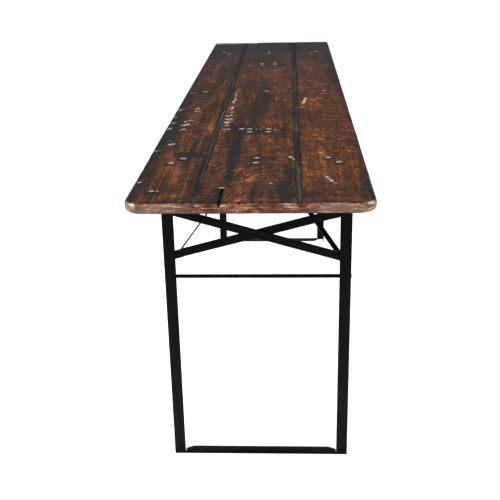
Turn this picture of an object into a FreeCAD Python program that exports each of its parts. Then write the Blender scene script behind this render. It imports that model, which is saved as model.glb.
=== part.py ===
import FreeCAD, Part
import math
import os

# Folding beer garden table: a plank top on two folding leg frames of angle iron.
# Millimetres. X runs across the top, Y along it and Z up from the floor.
# The origin is on the floor under the middle of the top. The near end is at -Y,
# and the far end's ironwork is the near end's, turned half a turn about Z.

# Plank top
table_length = 2200.0
table_width = 478.0
table_height = 770.0
top_thickness = 23.0
near_corner_radius = 40.0
far_corner_radius = 10.5
top_edge_round = 9.5
bottom_edge_round = 4.0
left_seam_x = -105.0
right_seam_x = 93.0
seam_width = 10.0
seam_depth = 8.0
seam_recess = 1.0
joint_gap = 0.4
split_x = -56.0
split_width = 7.0
split_tip_width = 4.0
split_tip_round = 1.5
split_length = 95.0
split_depth = 9.0

# Wooden battens across the underside
batten_thickness = 22.0
end_batten_inset = 258.0
end_batten_width = 50.0
centre_batten_width = 36.0
batten_side_gap = 34.0
batten_end_chamfer = 12.0

# Angle-iron legs, with the front flange towards the table's end
leg_inset = 326.0
frame_side_inset = 23.0
angle_leg = 27.0
angle_thickness = 3.0
angle_root_radius = 3.0
angle_toe_radius = 1.2
pivot_drop = 17.0

# Hinge rail: a steel flat with an ear turned down inside each leg
rail_thickness = 4.0
rail_width = 40.0
rail_bend_radius = 3.5
ear_gap = 1.0
pivot_bolt_diameter = 8.0
pivot_washer_diameter = 16.0
pivot_washer_thickness = 1.2
pivot_head_flats = 13.0
pivot_head_height = 5.3
pivot_nut_height = 6.5

# Crossed braces behind the front flanges
brace_width = 20.0
brace_thickness = 3.0
brace_drop = 159.0
brace_rise = 52.5
brace_skew_deg = 0.7
brace_joggle = 16.0
brace_joggle_gap = 8.0
brace_rivet_diameter = 5.0

# Cross rod, which is also the axle of the stay
rod_diameter = 9.0
rod_drop = 266.0
rod_setback = 12.0
rod_head_diameter = 13.0
rod_head_height = 2.4

# Foot bar on the floor
foot_depth = 29.0
foot_thickness = 3.5
foot_cut_length = 18.0
foot_cut_depth = 10.0
foot_corner_round = 3.0
foot_tab_width = 18.0
foot_tab_height = 36.0
foot_tab_round = 4.5
foot_rivet_z = 24.0
foot_rivet_diameter = 5.0

# Stay: a flat strap and a slim rod that meet at the crossbar
strap_width = 12.0
strap_thickness = 3.0
stay_wire_diameter = 4.0
stay_foot_straight = 33.0
stay_tip_straight = 13.0
stay_tip_x = 29.0
stay_bend = 14.0
stay_side_gap = 1.5
crossbar_diameter = 8.0
crossbar_length = 74.0
crossbar_drop = 35.0

# Latch under the top: plate, hook and leaf spring
latch_setback = 10.5
latch_plate_length = 66.0
latch_plate_width = 68.0
latch_plate_thickness = 3.0
latch_plate_corner = 6.0
latch_plate_lead = 5.0
latch_bolt_spacing_x = 46.0
latch_bolt_spacing_y = 30.0
hook_thickness = 6.0
hook_back = 14.0
hook_nose = 4.0
hook_lip = 7.4
hook_nose_round = 2.5
spring_width = 10.0
spring_thickness = 1.0
spring_bend = 2.0
spring_seat_length = 16.0
spring_gap = 4.0
spring_nose_gap = 1.2
spring_nose_rise = 3.5
spring_shoulder_gap = 3.0
spring_flare_y = 5.5
spring_flare_z = 9.5
spring_rivet_diameter = 4.0

# Carriage bolts, washers and nuts
bolt_diameter = 6.0
bolt_head_diameter = 17.0
bolt_head_height = 3.2
bolt_head_sink = 0.3
bolt_neck_height = 3.5
bolt_tail = 2.0
nut_flats = 10.0
nut_height = 5.0
washer_diameter = 15.0
washer_thickness = 1.2
batten_bolt_inset = 24.0
rail_bolt_inset = 52.5
rail_bolt_edge = 12.0
middle_bolt_x = 3.0

# Heads of rivets, as shares of the rivet's diameter
rivet_head_width = 1.7
rivet_head_height = 0.4

# Clearances
running_clearance = 0.06
fixed_clearance = 0.1
side_clearance = 0.3
head_clearance = 0.5
hole_clearance = 0.25
notch_clearance = 0.6

# A cutting tool runs past the face that it opens by this much, and closer points count as one
overrun = 1.0
coincident = 1e-5

# Heights and lines that the pieces share
under_z = table_height - top_thickness
near_y = -table_length / 2
frame_half = table_width / 2 - frame_side_inset
flange_front = near_y + leg_inset
flange_back = flange_front + angle_thickness
side_inner = frame_half - angle_thickness
flange_inner = frame_half - angle_leg
pivot_y = flange_front + angle_leg / 2
pivot_z = under_z - pivot_drop
rod_y = flange_front + rod_setback
rod_z = under_z - rod_drop
brace_z = under_z - brace_drop
rod_radius = rod_diameter / 2
crossbar_radius = crossbar_diameter / 2

# The rod swings up beside the hook when the frame folds, so the hook stands a setback short of it
folded_rod_y = pivot_y + (pivot_z - rod_z)
folded_rod_z = pivot_z + (rod_y - pivot_y)
crossbar_y = folded_rod_y - latch_setback
crossbar_z = under_z - crossbar_drop
stay_length = math.hypot(crossbar_y - rod_y, crossbar_z - rod_z)
stay_angle = math.atan2(crossbar_z - rod_z, crossbar_y - rod_y)
stay_eye_x = side_inner - stay_side_gap - strap_width / 2
fold_ratio = -(math.pi / 2 + stay_angle) / (math.pi / 2)

# The foot bar's tabs lie behind the front flanges
foot_rivet_x = flange_inner + foot_tab_width / 2 + angle_toe_radius

# The braces cross at x = 0 and rise or fall by brace_rise at the flanges' inner edges.
# The pair is turned by a small skew, so its right ends sit a little lower than its left ones.
brace_slope = math.atan2(brace_rise, flange_inner)
brace_skew = math.radians(brace_skew_deg)
front_brace_turn = brace_slope + brace_skew
rear_brace_turn = brace_slope - brace_skew
brace_reach = side_inner - angle_root_radius - side_clearance

# The latch hangs under the top, with its spring behind the place of the folded rod
latch_plate_z = under_z - latch_plate_thickness
latch_y = crossbar_y + latch_plate_lead
spring_seat_y = folded_rod_y + rod_radius + spring_gap + spring_thickness / 2
spring_rivet_y = spring_seat_y + spring_seat_length / 2

# The hinge rail's ears stand inside the legs, a washer apart from them
ear_outer = side_inner - side_clearance - pivot_washer_thickness
ear_width = angle_leg - 2 * (angle_thickness + ear_gap)
rail_back = pivot_y + ear_width / 2
rail_front = rail_back - rail_width

# Where the carriage bolts stand, near end first, with their heads just below the top's surface
head_seat_z = table_height - bolt_head_sink - bolt_head_height
batten_half = table_width / 2 - batten_side_gap
batten_bolt_x = batten_half - batten_bolt_inset
near_batten_y = near_y + end_batten_inset + end_batten_width / 2
near_batten_spots = [(x, near_batten_y) for x in (-batten_bolt_x, middle_bolt_x, batten_bolt_x)]
centre_batten_spots = [(x, 0.0) for x in (-batten_bolt_x, 2 * middle_bolt_x, batten_bolt_x)]
far_batten_spots = [(-x, -y) for x, y in near_batten_spots]
batten_spots = near_batten_spots + centre_batten_spots + far_batten_spots
rail_bolt_y = rail_front + rail_bolt_edge
rail_bolt_x = ear_outer - rail_bolt_inset
rail_spots = [(x, rail_bolt_y) for x in (-rail_bolt_x, middle_bolt_x, rail_bolt_x)]
latch_spots = [
    (sx * latch_bolt_spacing_x / 2, latch_y + sy * latch_bolt_spacing_y / 2)
    for sx in (-1, 1) for sy in (-1, 1)
]
near_spots = near_batten_spots + rail_spots + latch_spots
all_spots = near_spots + [(-x, -y) for x, y in near_spots] + centre_batten_spots


def vec(x, y, z):
    return FreeCAD.Vector(x, y, z)


def plan(z):
    return lambda a, b: vec(a, b, z)


def side(x):
    return lambda a, b: vec(x, a, b)


def front(y):
    return lambda a, b: vec(a, y, b)


def rounded_face(corners, place):
    # corners are (a, b, radius) in order round the outline, and place puts (a, b) in space
    edges = []
    first = None
    last = None
    count = len(corners)
    for i in range(count):
        a, b, radius = corners[i]
        before = corners[i - 1]
        after = corners[(i + 1) % count]
        here = vec(a, b, 0)
        back = (vec(before[0], before[1], 0) - here).normalize()
        ahead = (vec(after[0], after[1], 0) - here).normalize()
        if radius > 0:
            half = back.getAngle(ahead) / 2
            reach = radius / math.tan(half)
            start = here + back * reach
            stop = here + ahead * reach
            inward = (back + ahead).normalize()
            middle = here + inward * (radius / math.sin(half) - radius)
        else:
            start = here
            stop = here
        if last is None:
            first = start
        elif last.distanceToPoint(start) > coincident:
            edges.append(Part.makeLine(place(last.x, last.y), place(start.x, start.y)))
        if radius > 0:
            arc = Part.Arc(place(start.x, start.y), place(middle.x, middle.y), place(stop.x, stop.y))
            edges.append(arc.toShape())
        last = stop
    if last.distanceToPoint(first) > coincident:
        edges.append(Part.makeLine(place(last.x, last.y), place(first.x, first.y)))
    return Part.Face(Part.Wire(edges))


def strip(points, width, bend):
    # outline of a strip of even width along points, with its bends rounded about their inner side
    half = width / 2
    left = []
    right = []
    for i in range(len(points)):
        here = vec(points[i][0], points[i][1], 0)
        normals = []
        if i > 0:
            run = (here - vec(points[i - 1][0], points[i - 1][1], 0)).normalize()
            normals.append(vec(-run.y, run.x, 0))
        if i < len(points) - 1:
            run = (vec(points[i + 1][0], points[i + 1][1], 0) - here).normalize()
            normals.append(vec(-run.y, run.x, 0))
        out = normals[0]
        left_radius = 0
        right_radius = 0
        if len(normals) == 2:
            out = (normals[0] + normals[1]) / (1 + normals[0].dot(normals[1]))
            turn = 1 if normals[0].cross(normals[1]).z > 0 else -1
            left_radius = bend - turn * half
            right_radius = bend + turn * half
        left.append(((here + out * half).x, (here + out * half).y, left_radius))
        right.append(((here - out * half).x, (here - out * half).y, right_radius))
    return left + right[::-1]


def box(x0, x1, y0, y1, z0, z1):
    return Part.makeBox(x1 - x0, y1 - y0, z1 - z0, vec(x0, y0, z0))


def rod(start, end, radius):
    run = end - start
    return Part.makeCylinder(radius, run.Length, start, run)


def dome(base, direction, radius, height):
    # round head: a cap of a sphere standing on base
    sphere = (radius * radius + height * height) / (2 * height)
    half = math.asin(radius / sphere) / 2
    middle = vec(sphere * math.sin(half), 0, height - sphere + sphere * math.cos(half))
    rim = vec(radius, 0, 0)
    crown = vec(0, 0, height)
    outline = [
        Part.makeLine(vec(0, 0, 0), rim),
        Part.Arc(rim, middle, crown).toShape(),
        Part.makeLine(crown, vec(0, 0, 0)),
    ]
    cap = Part.Face(Part.Wire(outline)).revolve(vec(0, 0, 0), vec(0, 0, 1), 360)
    cap.Placement = FreeCAD.Placement(base, FreeCAD.Rotation(vec(0, 0, 1), direction))
    return cap


def rivet(start, end, diameter):
    # solid rivet with a low round head at each end of its grip
    run = (end - start).normalize()
    body = rod(start, end, diameter / 2)
    head = diameter * rivet_head_width / 2
    height = diameter * rivet_head_height
    body = body.fuse(dome(start, run * -1, head, height))
    return body.fuse(dome(end, run, head, height)).removeSplitter()


def hexagon(base, direction, flats, height):
    corner = flats / math.sqrt(3)
    turns = [math.radians(60 * i) for i in range(6)]
    face = rounded_face([(corner * math.cos(t), corner * math.sin(t), 0) for t in turns], plan(0))
    solid = face.extrude(vec(0, 0, height))
    solid.Placement = FreeCAD.Placement(base, FreeCAD.Rotation(vec(0, 0, 1), direction))
    return solid


def half_turn(shape):
    turned = shape.copy()
    turned.rotate(vec(0, 0, 0), vec(0, 0, 1), 180)
    return turned


def mirror_x(shape):
    return shape.mirror(vec(0, 0, 0), vec(1, 0, 0))


def carriage_bolt(spot, grip_z):
    # grip_z is the face that the nut is drawn up against
    x, y = spot
    end_z = grip_z - nut_height - bolt_tail
    head = dome(vec(x, y, head_seat_z), vec(0, 0, 1), bolt_head_diameter / 2, bolt_head_height)
    half = bolt_diameter / 2
    neck = box(x - half, x + half, y - half, y + half, head_seat_z - bolt_neck_height, head_seat_z)
    shank = rod(vec(x, y, end_z), vec(x, y, head_seat_z), half)
    return head.fuse([neck, shank]).removeSplitter()


def bolt_pocket(spot):
    # room for one carriage bolt in a board: head pocket, square for the neck, and hole
    x, y = spot
    half = bolt_diameter / 2
    pocket = rod(vec(x, y, head_seat_z), vec(x, y, table_height + overrun),
                 bolt_head_diameter / 2 + head_clearance)
    neck = box(x - half, x + half, y - half, y + half, head_seat_z - bolt_neck_height, head_seat_z)
    hole = rod(vec(x, y, under_z - overrun), vec(x, y, head_seat_z), half + hole_clearance)
    return pocket.fuse([neck, hole])


def bolt_hole(spot, z0, z1):
    return rod(vec(spot[0], spot[1], z0), vec(spot[0], spot[1], z1), bolt_diameter / 2 + hole_clearance)


def nut(spot, top_z):
    x, y = spot
    block = hexagon(vec(x, y, top_z), vec(0, 0, -1), nut_flats, nut_height)
    bore = rod(vec(x, y, top_z - nut_height - overrun), vec(x, y, top_z + overrun),
               bolt_diameter / 2 + fixed_clearance)
    return block.cut(bore)


def washer(spot, top_z):
    x, y = spot
    disc = rod(vec(x, y, top_z - washer_thickness), vec(x, y, top_z), washer_diameter / 2)
    return disc.cut(bolt_hole(spot, top_z - washer_thickness - overrun, top_z + overrun))


def rim_edges(slab, z):
    # edges of a slab that lie flat at one height
    edges = []
    for edge in slab.Edges:
        if abs(edge.BoundBox.ZMin - z) < coincident and abs(edge.BoundBox.ZMax - z) < coincident:
            edges.append(edge)
    return edges


def plank_slab(inset):
    # the whole top before it is divided, shrunk by inset at its rim and its upper face
    half_x = table_width / 2 - inset
    half_y = table_length / 2 - inset
    near_radius = near_corner_radius - inset
    far_radius = far_corner_radius - inset
    corners = [
        (-half_x, -half_y, near_radius),
        (half_x, -half_y, near_radius),
        (half_x, half_y, far_radius),
        (-half_x, half_y, far_radius),
    ]
    slab = rounded_face(corners, plan(under_z)).extrude(vec(0, 0, top_thickness - inset))
    slab = slab.makeFillet(bottom_edge_round - inset, rim_edges(slab, under_z))
    return slab.makeFillet(top_edge_round - inset, rim_edges(slab, table_height - inset))


def end_split():
    # drying crack that runs in from the near end of the middle board and narrows to its tip
    half = split_width / 2
    tip_half = split_tip_width / 2
    mouth = near_y - overrun
    tip = near_y + split_length
    corners = [
        (split_x - half, mouth, 0),
        (split_x + half, mouth, 0),
        (split_x + tip_half, tip, split_tip_round),
        (split_x - tip_half, tip, split_tip_round),
    ]
    floor_z = table_height - split_depth
    return rounded_face(corners, plan(floor_z)).extrude(vec(0, 0, split_depth + overrun))


def seam_channel(x):
    # groove along the top over the joint between two boards
    half = seam_width / 2
    return box(x - half, x + half, -table_length, table_length,
               table_height - seam_depth, table_height + overrun)


def boards():
    slab = plank_slab(0)
    slab = slab.cut([bolt_pocket(spot) for spot in all_spots])
    slab = slab.cut([seam_channel(left_seam_x), seam_channel(right_seam_x)])
    gap = joint_gap / 2
    spans = {
        "left_board": (-table_width, left_seam_x - gap),
        "middle_board": (left_seam_x + gap, right_seam_x - gap),
        "right_board": (right_seam_x + gap, table_width),
    }
    made = {}
    for name, (x0, x1) in spans.items():
        made[name] = slab.common(box(x0, x1, -table_length, table_length, 0, 2 * table_height))
    made["middle_board"] = made["middle_board"].cut(end_split())
    return made


def seam_fillers():
    core = plank_slab(seam_recess)
    return {
        "left_seam_filler": core.common(seam_channel(left_seam_x)),
        "right_seam_filler": core.common(seam_channel(right_seam_x)),
    }


def batten(y, width, spots):
    low_z = under_z - batten_thickness
    corners = [
        (-batten_half, under_z, 0),
        (-batten_half, low_z + batten_end_chamfer, 0),
        (-batten_half + batten_end_chamfer, low_z, 0),
        (batten_half - batten_end_chamfer, low_z, 0),
        (batten_half, low_z + batten_end_chamfer, 0),
        (batten_half, under_z, 0),
    ]
    bar = rounded_face(corners, front(y - width / 2)).extrude(vec(0, width, 0))
    return bar.cut([bolt_hole(spot, low_z - overrun, under_z + overrun) for spot in spots])


def hinge_rail():
    flat_z = under_z - rail_thickness
    middle_x = ear_outer - rail_thickness / 2
    middle_z = under_z - rail_thickness / 2
    ear_end_z = pivot_z - ear_width / 2
    line = [(-middle_x, ear_end_z), (-middle_x, middle_z), (middle_x, middle_z), (middle_x, ear_end_z)]
    outline = strip(line, rail_thickness, rail_bend_radius + rail_thickness / 2)
    section = rounded_face(outline, front(rail_back))
    strap = section.extrude(vec(0, -ear_width, 0))
    round_end = box(-table_width, table_width, rail_front, rail_back + overrun,
                    ear_end_z - overrun, pivot_z)
    round_end = round_end.cut(across_axis(pivot_y, pivot_z, ear_width / 2))
    flat_x = ear_outer - rail_thickness - rail_bend_radius
    flat = box(-flat_x, flat_x, rail_front, rail_back, flat_z, under_z)
    rail = strap.cut(round_end).fuse(flat).removeSplitter()
    pin = across_axis(pivot_y, pivot_z, pivot_bolt_diameter / 2 + fixed_clearance)
    return rail.cut([pin] + [bolt_hole(spot, flat_z - overrun, under_z + overrun) for spot in rail_spots])


def across_axis(y, z, radius):
    # cylinder right across the table, for holes and rounded ends
    return rod(vec(-table_width, y, z), vec(table_width, y, z), radius)


def pivot_bolt():
    # bolt through the right-hand leg and ear, with its head outside the leg
    head_x = frame_half + side_clearance
    end_x = ear_outer - rail_thickness - pivot_nut_height - bolt_tail
    head = hexagon(vec(head_x, pivot_y, pivot_z), vec(1, 0, 0), pivot_head_flats, pivot_head_height)
    shank = rod(vec(end_x, pivot_y, pivot_z), vec(head_x, pivot_y, pivot_z), pivot_bolt_diameter / 2)
    return head.fuse(shank).removeSplitter()


def pivot_nut():
    block = hexagon(vec(ear_outer - rail_thickness, pivot_y, pivot_z), vec(-1, 0, 0),
                    pivot_head_flats, pivot_nut_height)
    return block.cut(across_axis(pivot_y, pivot_z, pivot_bolt_diameter / 2 + fixed_clearance))


def pivot_washer():
    disc = rod(vec(ear_outer, pivot_y, pivot_z), vec(ear_outer + pivot_washer_thickness, pivot_y, pivot_z),
               pivot_washer_diameter / 2)
    return disc.cut(across_axis(pivot_y, pivot_z, pivot_bolt_diameter / 2 + fixed_clearance))


def right_leg():
    head_radius = angle_leg / 2
    corners = [
        (frame_half, flange_front, 0),
        (flange_inner, flange_front, 0),
        (flange_inner, flange_back, angle_toe_radius),
        (side_inner, flange_back, angle_root_radius),
        (side_inner, flange_front + angle_leg, angle_toe_radius),
        (frame_half, flange_front + angle_leg, 0),
    ]
    leg = rounded_face(corners, plan(0)).extrude(vec(0, 0, pivot_z + head_radius))
    crown = box(flange_inner - overrun, frame_half + overrun, flange_front - overrun,
                flange_front + angle_leg + overrun, pivot_z, pivot_z + head_radius + overrun)
    leg = leg.cut(crown.cut(across_axis(pivot_y, pivot_z, head_radius)))
    return leg.cut([
        across_axis(pivot_y, pivot_z, pivot_bolt_diameter / 2 + running_clearance),
        across_axis(rod_y, rod_z, rod_radius + fixed_clearance),
        foot_rivet_hole(),
    ])


def foot_rivet_hole():
    start = vec(foot_rivet_x, flange_front - overrun, foot_rivet_z)
    end = vec(foot_rivet_x, flange_back + foot_thickness + overrun, foot_rivet_z)
    return rod(start, end, foot_rivet_diameter / 2 + fixed_clearance)


def foot_rivet():
    start = vec(foot_rivet_x, flange_front, foot_rivet_z)
    end = vec(foot_rivet_x, flange_back + foot_thickness, foot_rivet_z)
    return rivet(start, end, foot_rivet_diameter)


def foot_bar():
    # flat on the floor between the legs, with a tab turned up behind each front flange
    tab_x = foot_rivet_x + foot_tab_width / 2
    neck_y = flange_back + foot_thickness
    back_y = flange_front + foot_depth
    half = [
        (flange_inner, flange_front, 0),
        (flange_inner, flange_back, 0),
        (tab_x, flange_back, 0),
        (tab_x, neck_y, 0),
        (flange_inner, neck_y, 0),
        (flange_inner, back_y - foot_cut_depth, 0),
        (flange_inner - foot_cut_length, back_y, foot_corner_round),
    ]
    corners = half + [(-x, y, radius) for x, y, radius in reversed(half)]
    flat = rounded_face(corners, plan(0)).extrude(vec(0, 0, foot_thickness))
    tab_start = foot_rivet_x - foot_tab_width / 2
    tab = rounded_face([
        (tab_start, 0, 0),
        (tab_x, 0, 0),
        (tab_x, foot_tab_height, foot_tab_round),
        (tab_start, foot_tab_height, foot_tab_round),
    ], front(flange_back)).extrude(vec(0, foot_thickness, 0))
    tab = tab.cut(foot_rivet_hole())
    return flat.fuse([tab, mirror_x(tab)]).removeSplitter()


def brace_hole():
    start = vec(0, flange_front, brace_z)
    return rod(start, start + vec(0, angle_leg, 0), brace_rivet_diameter / 2 + fixed_clearance)


def tilt_brace(bar, turn):
    bar.rotate(vec(0, 0, 0), vec(0, 1, 0), math.degrees(turn))
    bar.translate(vec(0, flange_back, brace_z))
    return bar.cut(brace_hole())


def brace_half(turn):
    # half the length of a bar whose corners just reach the legs' inner rounds when it is turned
    return (brace_reach - brace_width / 2 * math.sin(turn)) / math.cos(turn)


def front_brace():
    half = brace_half(front_brace_turn)
    bar = box(-half, half, 0, brace_thickness, -brace_width / 2, brace_width / 2)
    return tilt_brace(bar, front_brace_turn)


def rear_brace():
    # joggled at each end, so that its ends lie on the flanges and its middle behind the front brace
    end_y = brace_thickness / 2
    middle_y = end_y + brace_thickness
    half = brace_half(rear_brace_turn)
    bend_x = flange_inner / math.cos(rear_brace_turn) - brace_joggle_gap
    rise_x = bend_x - brace_joggle
    line = [(-half, end_y), (-bend_x, end_y), (-rise_x, middle_y),
            (rise_x, middle_y), (bend_x, end_y), (half, end_y)]
    outline = strip(line, brace_thickness, brace_thickness)
    bar = rounded_face(outline, plan(-brace_width / 2)).extrude(vec(0, 0, brace_width))
    return tilt_brace(bar, -rear_brace_turn)


def brace_rivet():
    start = vec(0, flange_back, brace_z)
    return rivet(start, start + vec(0, 2 * brace_thickness, 0), brace_rivet_diameter)


def cross_rod():
    left = vec(-frame_half, rod_y, rod_z)
    right = vec(frame_half, rod_y, rod_z)
    bar = rod(left, right, rod_radius)
    heads = [dome(left, vec(-1, 0, 0), rod_head_diameter / 2, rod_head_height),
             dome(right, vec(1, 0, 0), rod_head_diameter / 2, rod_head_height)]
    return bar.fuse(heads).removeSplitter()


# The stay's two arms lie in one sloping plane through the cross rod and the crossbar
stay_run = vec(0, math.cos(stay_angle), math.sin(stay_angle))
stay_normal = vec(0, -math.sin(stay_angle), math.cos(stay_angle))


def on_stay(lift):
    # place for outlines drawn as (x, distance from the rod), lifted off the arms' middle plane
    foot = vec(0, rod_y, rod_z) + stay_normal * lift
    return lambda a, b: vec(a, 0, 0) + foot + stay_run * b


def stay_line(side_sign, start):
    eye = side_sign * stay_eye_x
    tip = side_sign * stay_tip_x
    tip_start = stay_length - stay_tip_straight
    return [(eye, start), (eye, stay_foot_straight), (tip, tip_start), (tip, stay_length)]


def stay_strap():
    # flat strap on the right, with an eye rolled round the rod and one round the crossbar
    outline = strip(stay_line(1, 0), strap_width, stay_bend)
    face = rounded_face(outline, on_stay(-strap_thickness / 2))
    strap = face.extrude(stay_normal * strap_thickness)
    rod_bore = rod_radius + running_clearance
    bar_bore = crossbar_radius + fixed_clearance
    eyes = []
    bores = []
    foot = (rod_y, rod_z, stay_eye_x, rod_bore)
    tip = (crossbar_y, crossbar_z, stay_tip_x, bar_bore)
    for y, z, x, bore in (foot, tip):
        ends = (vec(x - strap_width / 2, y, z), vec(x + strap_width / 2, y, z))
        eyes.append(rod(ends[0], ends[1], bore + strap_thickness))
        bores.append(across_axis(y, z, bore))
    return strap.fuse(eyes).removeSplitter().cut(bores)


def stay_rod():
    # slim rod on the left, bent round the cross rod and the crossbar at its ends
    wire = stay_wire_diameter / 2
    foot_ring = rod_radius + running_clearance + wire
    tip_ring = crossbar_radius + fixed_clearance + wire
    line = stay_line(-1, foot_ring)
    line[-1] = (line[-1][0], stay_length - tip_ring)
    place = on_stay(0)
    path = [place(*line[0])]
    edges = []
    for i in (1, 2):
        here = place(*line[i])
        back = (place(*line[i - 1]) - here).normalize()
        ahead = (place(*line[i + 1]) - here).normalize()
        half = back.getAngle(ahead) / 2
        reach = stay_bend / math.tan(half)
        start = here + back * reach
        stop = here + ahead * reach
        middle = here + (back + ahead).normalize() * (stay_bend / math.sin(half) - stay_bend)
        edges.append(Part.makeLine(path[-1], start))
        edges.append(Part.Arc(start, middle, stop).toShape())
        path.append(stop)
    edges.append(Part.makeLine(path[-1], place(*line[-1])))
    section = Part.Wire([Part.makeCircle(wire, path[0], stay_run)])
    arm = Part.Wire(edges).makePipeShell([section], True, False)
    rings = []
    foot = (rod_y, rod_z, -stay_eye_x, foot_ring)
    tip = (crossbar_y, crossbar_z, -stay_tip_x, tip_ring)
    for y, z, x, ring in (foot, tip):
        rings.append(Part.makeTorus(ring, wire, vec(x, y, z), vec(1, 0, 0)))
    return arm.fuse(rings).removeSplitter()


def stay_crossbar():
    half = crossbar_length / 2
    return rod(vec(-half, crossbar_y, crossbar_z), vec(half, crossbar_y, crossbar_z), crossbar_radius)


def spring_rivet_hole():
    start = vec(0, spring_rivet_y, latch_plate_z - 2 * spring_thickness)
    end = vec(0, spring_rivet_y, under_z + overrun)
    return rod(start, end, spring_rivet_diameter / 2 + fixed_clearance)


def exit_slope():
    # direction in which the crossbar leaves the hook as the frame starts to fold
    turn = 1 + fold_ratio
    run_y = (pivot_z - rod_z) - turn * (crossbar_z - rod_z)
    run_z = (rod_y - pivot_y) + turn * (crossbar_y - rod_y)
    return math.atan2(run_z, run_y)


def latch_hook():
    half = latch_plate_width / 2
    plate = rounded_face([
        (-half, latch_y - latch_plate_length / 2, latch_plate_corner),
        (half, latch_y - latch_plate_length / 2, latch_plate_corner),
        (half, latch_y + latch_plate_length / 2, latch_plate_corner),
        (-half, latch_y + latch_plate_length / 2, latch_plate_corner),
    ], plan(latch_plate_z)).extrude(vec(0, 0, latch_plate_thickness))
    plate = plate.cut([bolt_hole(spot, latch_plate_z - overrun, under_z + overrun) for spot in latch_spots])
    plate = plate.cut(spring_rivet_hole())
    notch = crossbar_radius + notch_clearance
    back_y = crossbar_y - hook_back
    nose_y = crossbar_y + hook_nose
    lip_z = crossbar_z - notch - hook_lip
    hook = rounded_face([
        (back_y, latch_plate_z, 0),
        (back_y, lip_z, hook_lip),
        (nose_y, lip_z, hook_nose_round),
        (nose_y, latch_plate_z, 0),
    ], side(-hook_thickness / 2)).extrude(vec(hook_thickness, 0, 0))
    slot = box(-hook_thickness, hook_thickness, 0, hook_back + hook_nose, -notch, notch)
    slot.rotate(vec(0, 0, 0), vec(1, 0, 0), math.degrees(exit_slope()))
    slot.translate(vec(0, crossbar_y, crossbar_z))
    hook = hook.cut([slot, across_axis(crossbar_y, crossbar_z, notch)])
    return plate.fuse(hook).removeSplitter()


def latch_spring():
    # leaf spring whose nose holds the crossbar in the hook, and the rod above it when folded
    seat_z = latch_plate_z - spring_thickness / 2
    nose_y = crossbar_y + crossbar_radius + spring_nose_gap
    nose_z = crossbar_z + spring_nose_rise
    shoulder_z = folded_rod_z - rod_radius - spring_shoulder_gap
    line = [
        (spring_seat_y + spring_seat_length, seat_z),
        (spring_seat_y, seat_z),
        (spring_seat_y, shoulder_z),
        (nose_y, nose_z),
        (nose_y + spring_flare_y, nose_z - spring_flare_z),
    ]
    outline = strip(line, spring_thickness, spring_bend)
    leaf = rounded_face(outline, side(-spring_width / 2)).extrude(vec(spring_width, 0, 0))
    return leaf.cut(spring_rivet_hole())


def spring_rivet():
    # its upper end is filed flush with the plate
    foot = vec(0, spring_rivet_y, latch_plate_z - spring_thickness)
    shank = rod(foot, vec(0, spring_rivet_y, under_z), spring_rivet_diameter / 2)
    head = dome(foot, vec(0, 0, -1), spring_rivet_diameter * rivet_head_width / 2,
                spring_rivet_diameter * rivet_head_height)
    return shank.fuse(head).removeSplitter()


def near_ironwork():
    leg = right_leg()
    bolt = pivot_bolt()
    pin_nut = pivot_nut()
    pin_washer = pivot_washer()
    rail_z = under_z - rail_thickness
    pin = foot_rivet()
    return {
        "hinge_rail": [hinge_rail()],
        "rail_bolts": [carriage_bolt(spot, rail_z) for spot in rail_spots],
        "rail_nuts": [nut(spot, rail_z) for spot in rail_spots],
        "pivot_bolts": [bolt, mirror_x(bolt)],
        "pivot_washers": [pin_washer, mirror_x(pin_washer)],
        "pivot_nuts": [pin_nut, mirror_x(pin_nut)],
        "left_leg": [mirror_x(leg)],
        "right_leg": [leg],
        "front_brace": [front_brace()],
        "rear_brace": [rear_brace()],
        "brace_rivet": [brace_rivet()],
        "cross_rod": [cross_rod()],
        "foot_bar": [foot_bar()],
        "foot_rivets": [pin, mirror_x(pin)],
        "stay_strap": [stay_strap()],
        "stay_rod": [stay_rod()],
        "stay_crossbar": [stay_crossbar()],
        "latch_hook": [latch_hook()],
        "latch_spring": [latch_spring()],
        "latch_bolts": [carriage_bolt(spot, latch_plate_z) for spot in latch_spots],
        "latch_nuts": [nut(spot, latch_plate_z) for spot in latch_spots],
        "spring_rivet": [spring_rivet()],
    }


def plank_top():
    low_z = under_z - batten_thickness
    nut_z = low_z - washer_thickness
    pieces = {name: [shape] for name, shape in boards().items()}
    pieces.update({name: [shape] for name, shape in seam_fillers().items()})
    pieces["near_batten"] = [batten(near_batten_y, end_batten_width, near_batten_spots)]
    pieces["centre_batten"] = [batten(0.0, centre_batten_width, centre_batten_spots)]
    pieces["far_batten"] = [batten(-near_batten_y, end_batten_width, far_batten_spots)]
    pieces["batten_bolts"] = [carriage_bolt(spot, nut_z) for spot in batten_spots]
    pieces["batten_washers"] = [washer(spot, low_z) for spot in batten_spots]
    pieces["batten_nuts"] = [nut(spot, nut_z) for spot in batten_spots]
    return pieces


def main():
    os.makedirs("parts", exist_ok=True)
    pieces = plank_top()
    for name, solids in near_ironwork().items():
        pieces["near_" + name] = solids
        pieces["far_" + name] = [half_turn(solid) for solid in solids]
    for name, solids in pieces.items():
        shape = solids[0] if len(solids) == 1 else Part.makeCompound(solids)
        if not shape.isValid():
            print("not valid:", name)
        shape.exportStep(os.path.join("parts", name + ".step"))
    print("nodes:", len(pieces))
    print("fold pivot y, z:", pivot_y, pivot_z, " stay pivot y, z:", rod_y, rod_z)
    print("stay length, slope:", stay_length, math.degrees(stay_angle))
    print("stay turn per fold turn:", fold_ratio)


main()
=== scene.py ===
import bmesh
import bpy
import math
import numpy as np
from mathutils import Matrix, Vector


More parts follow.
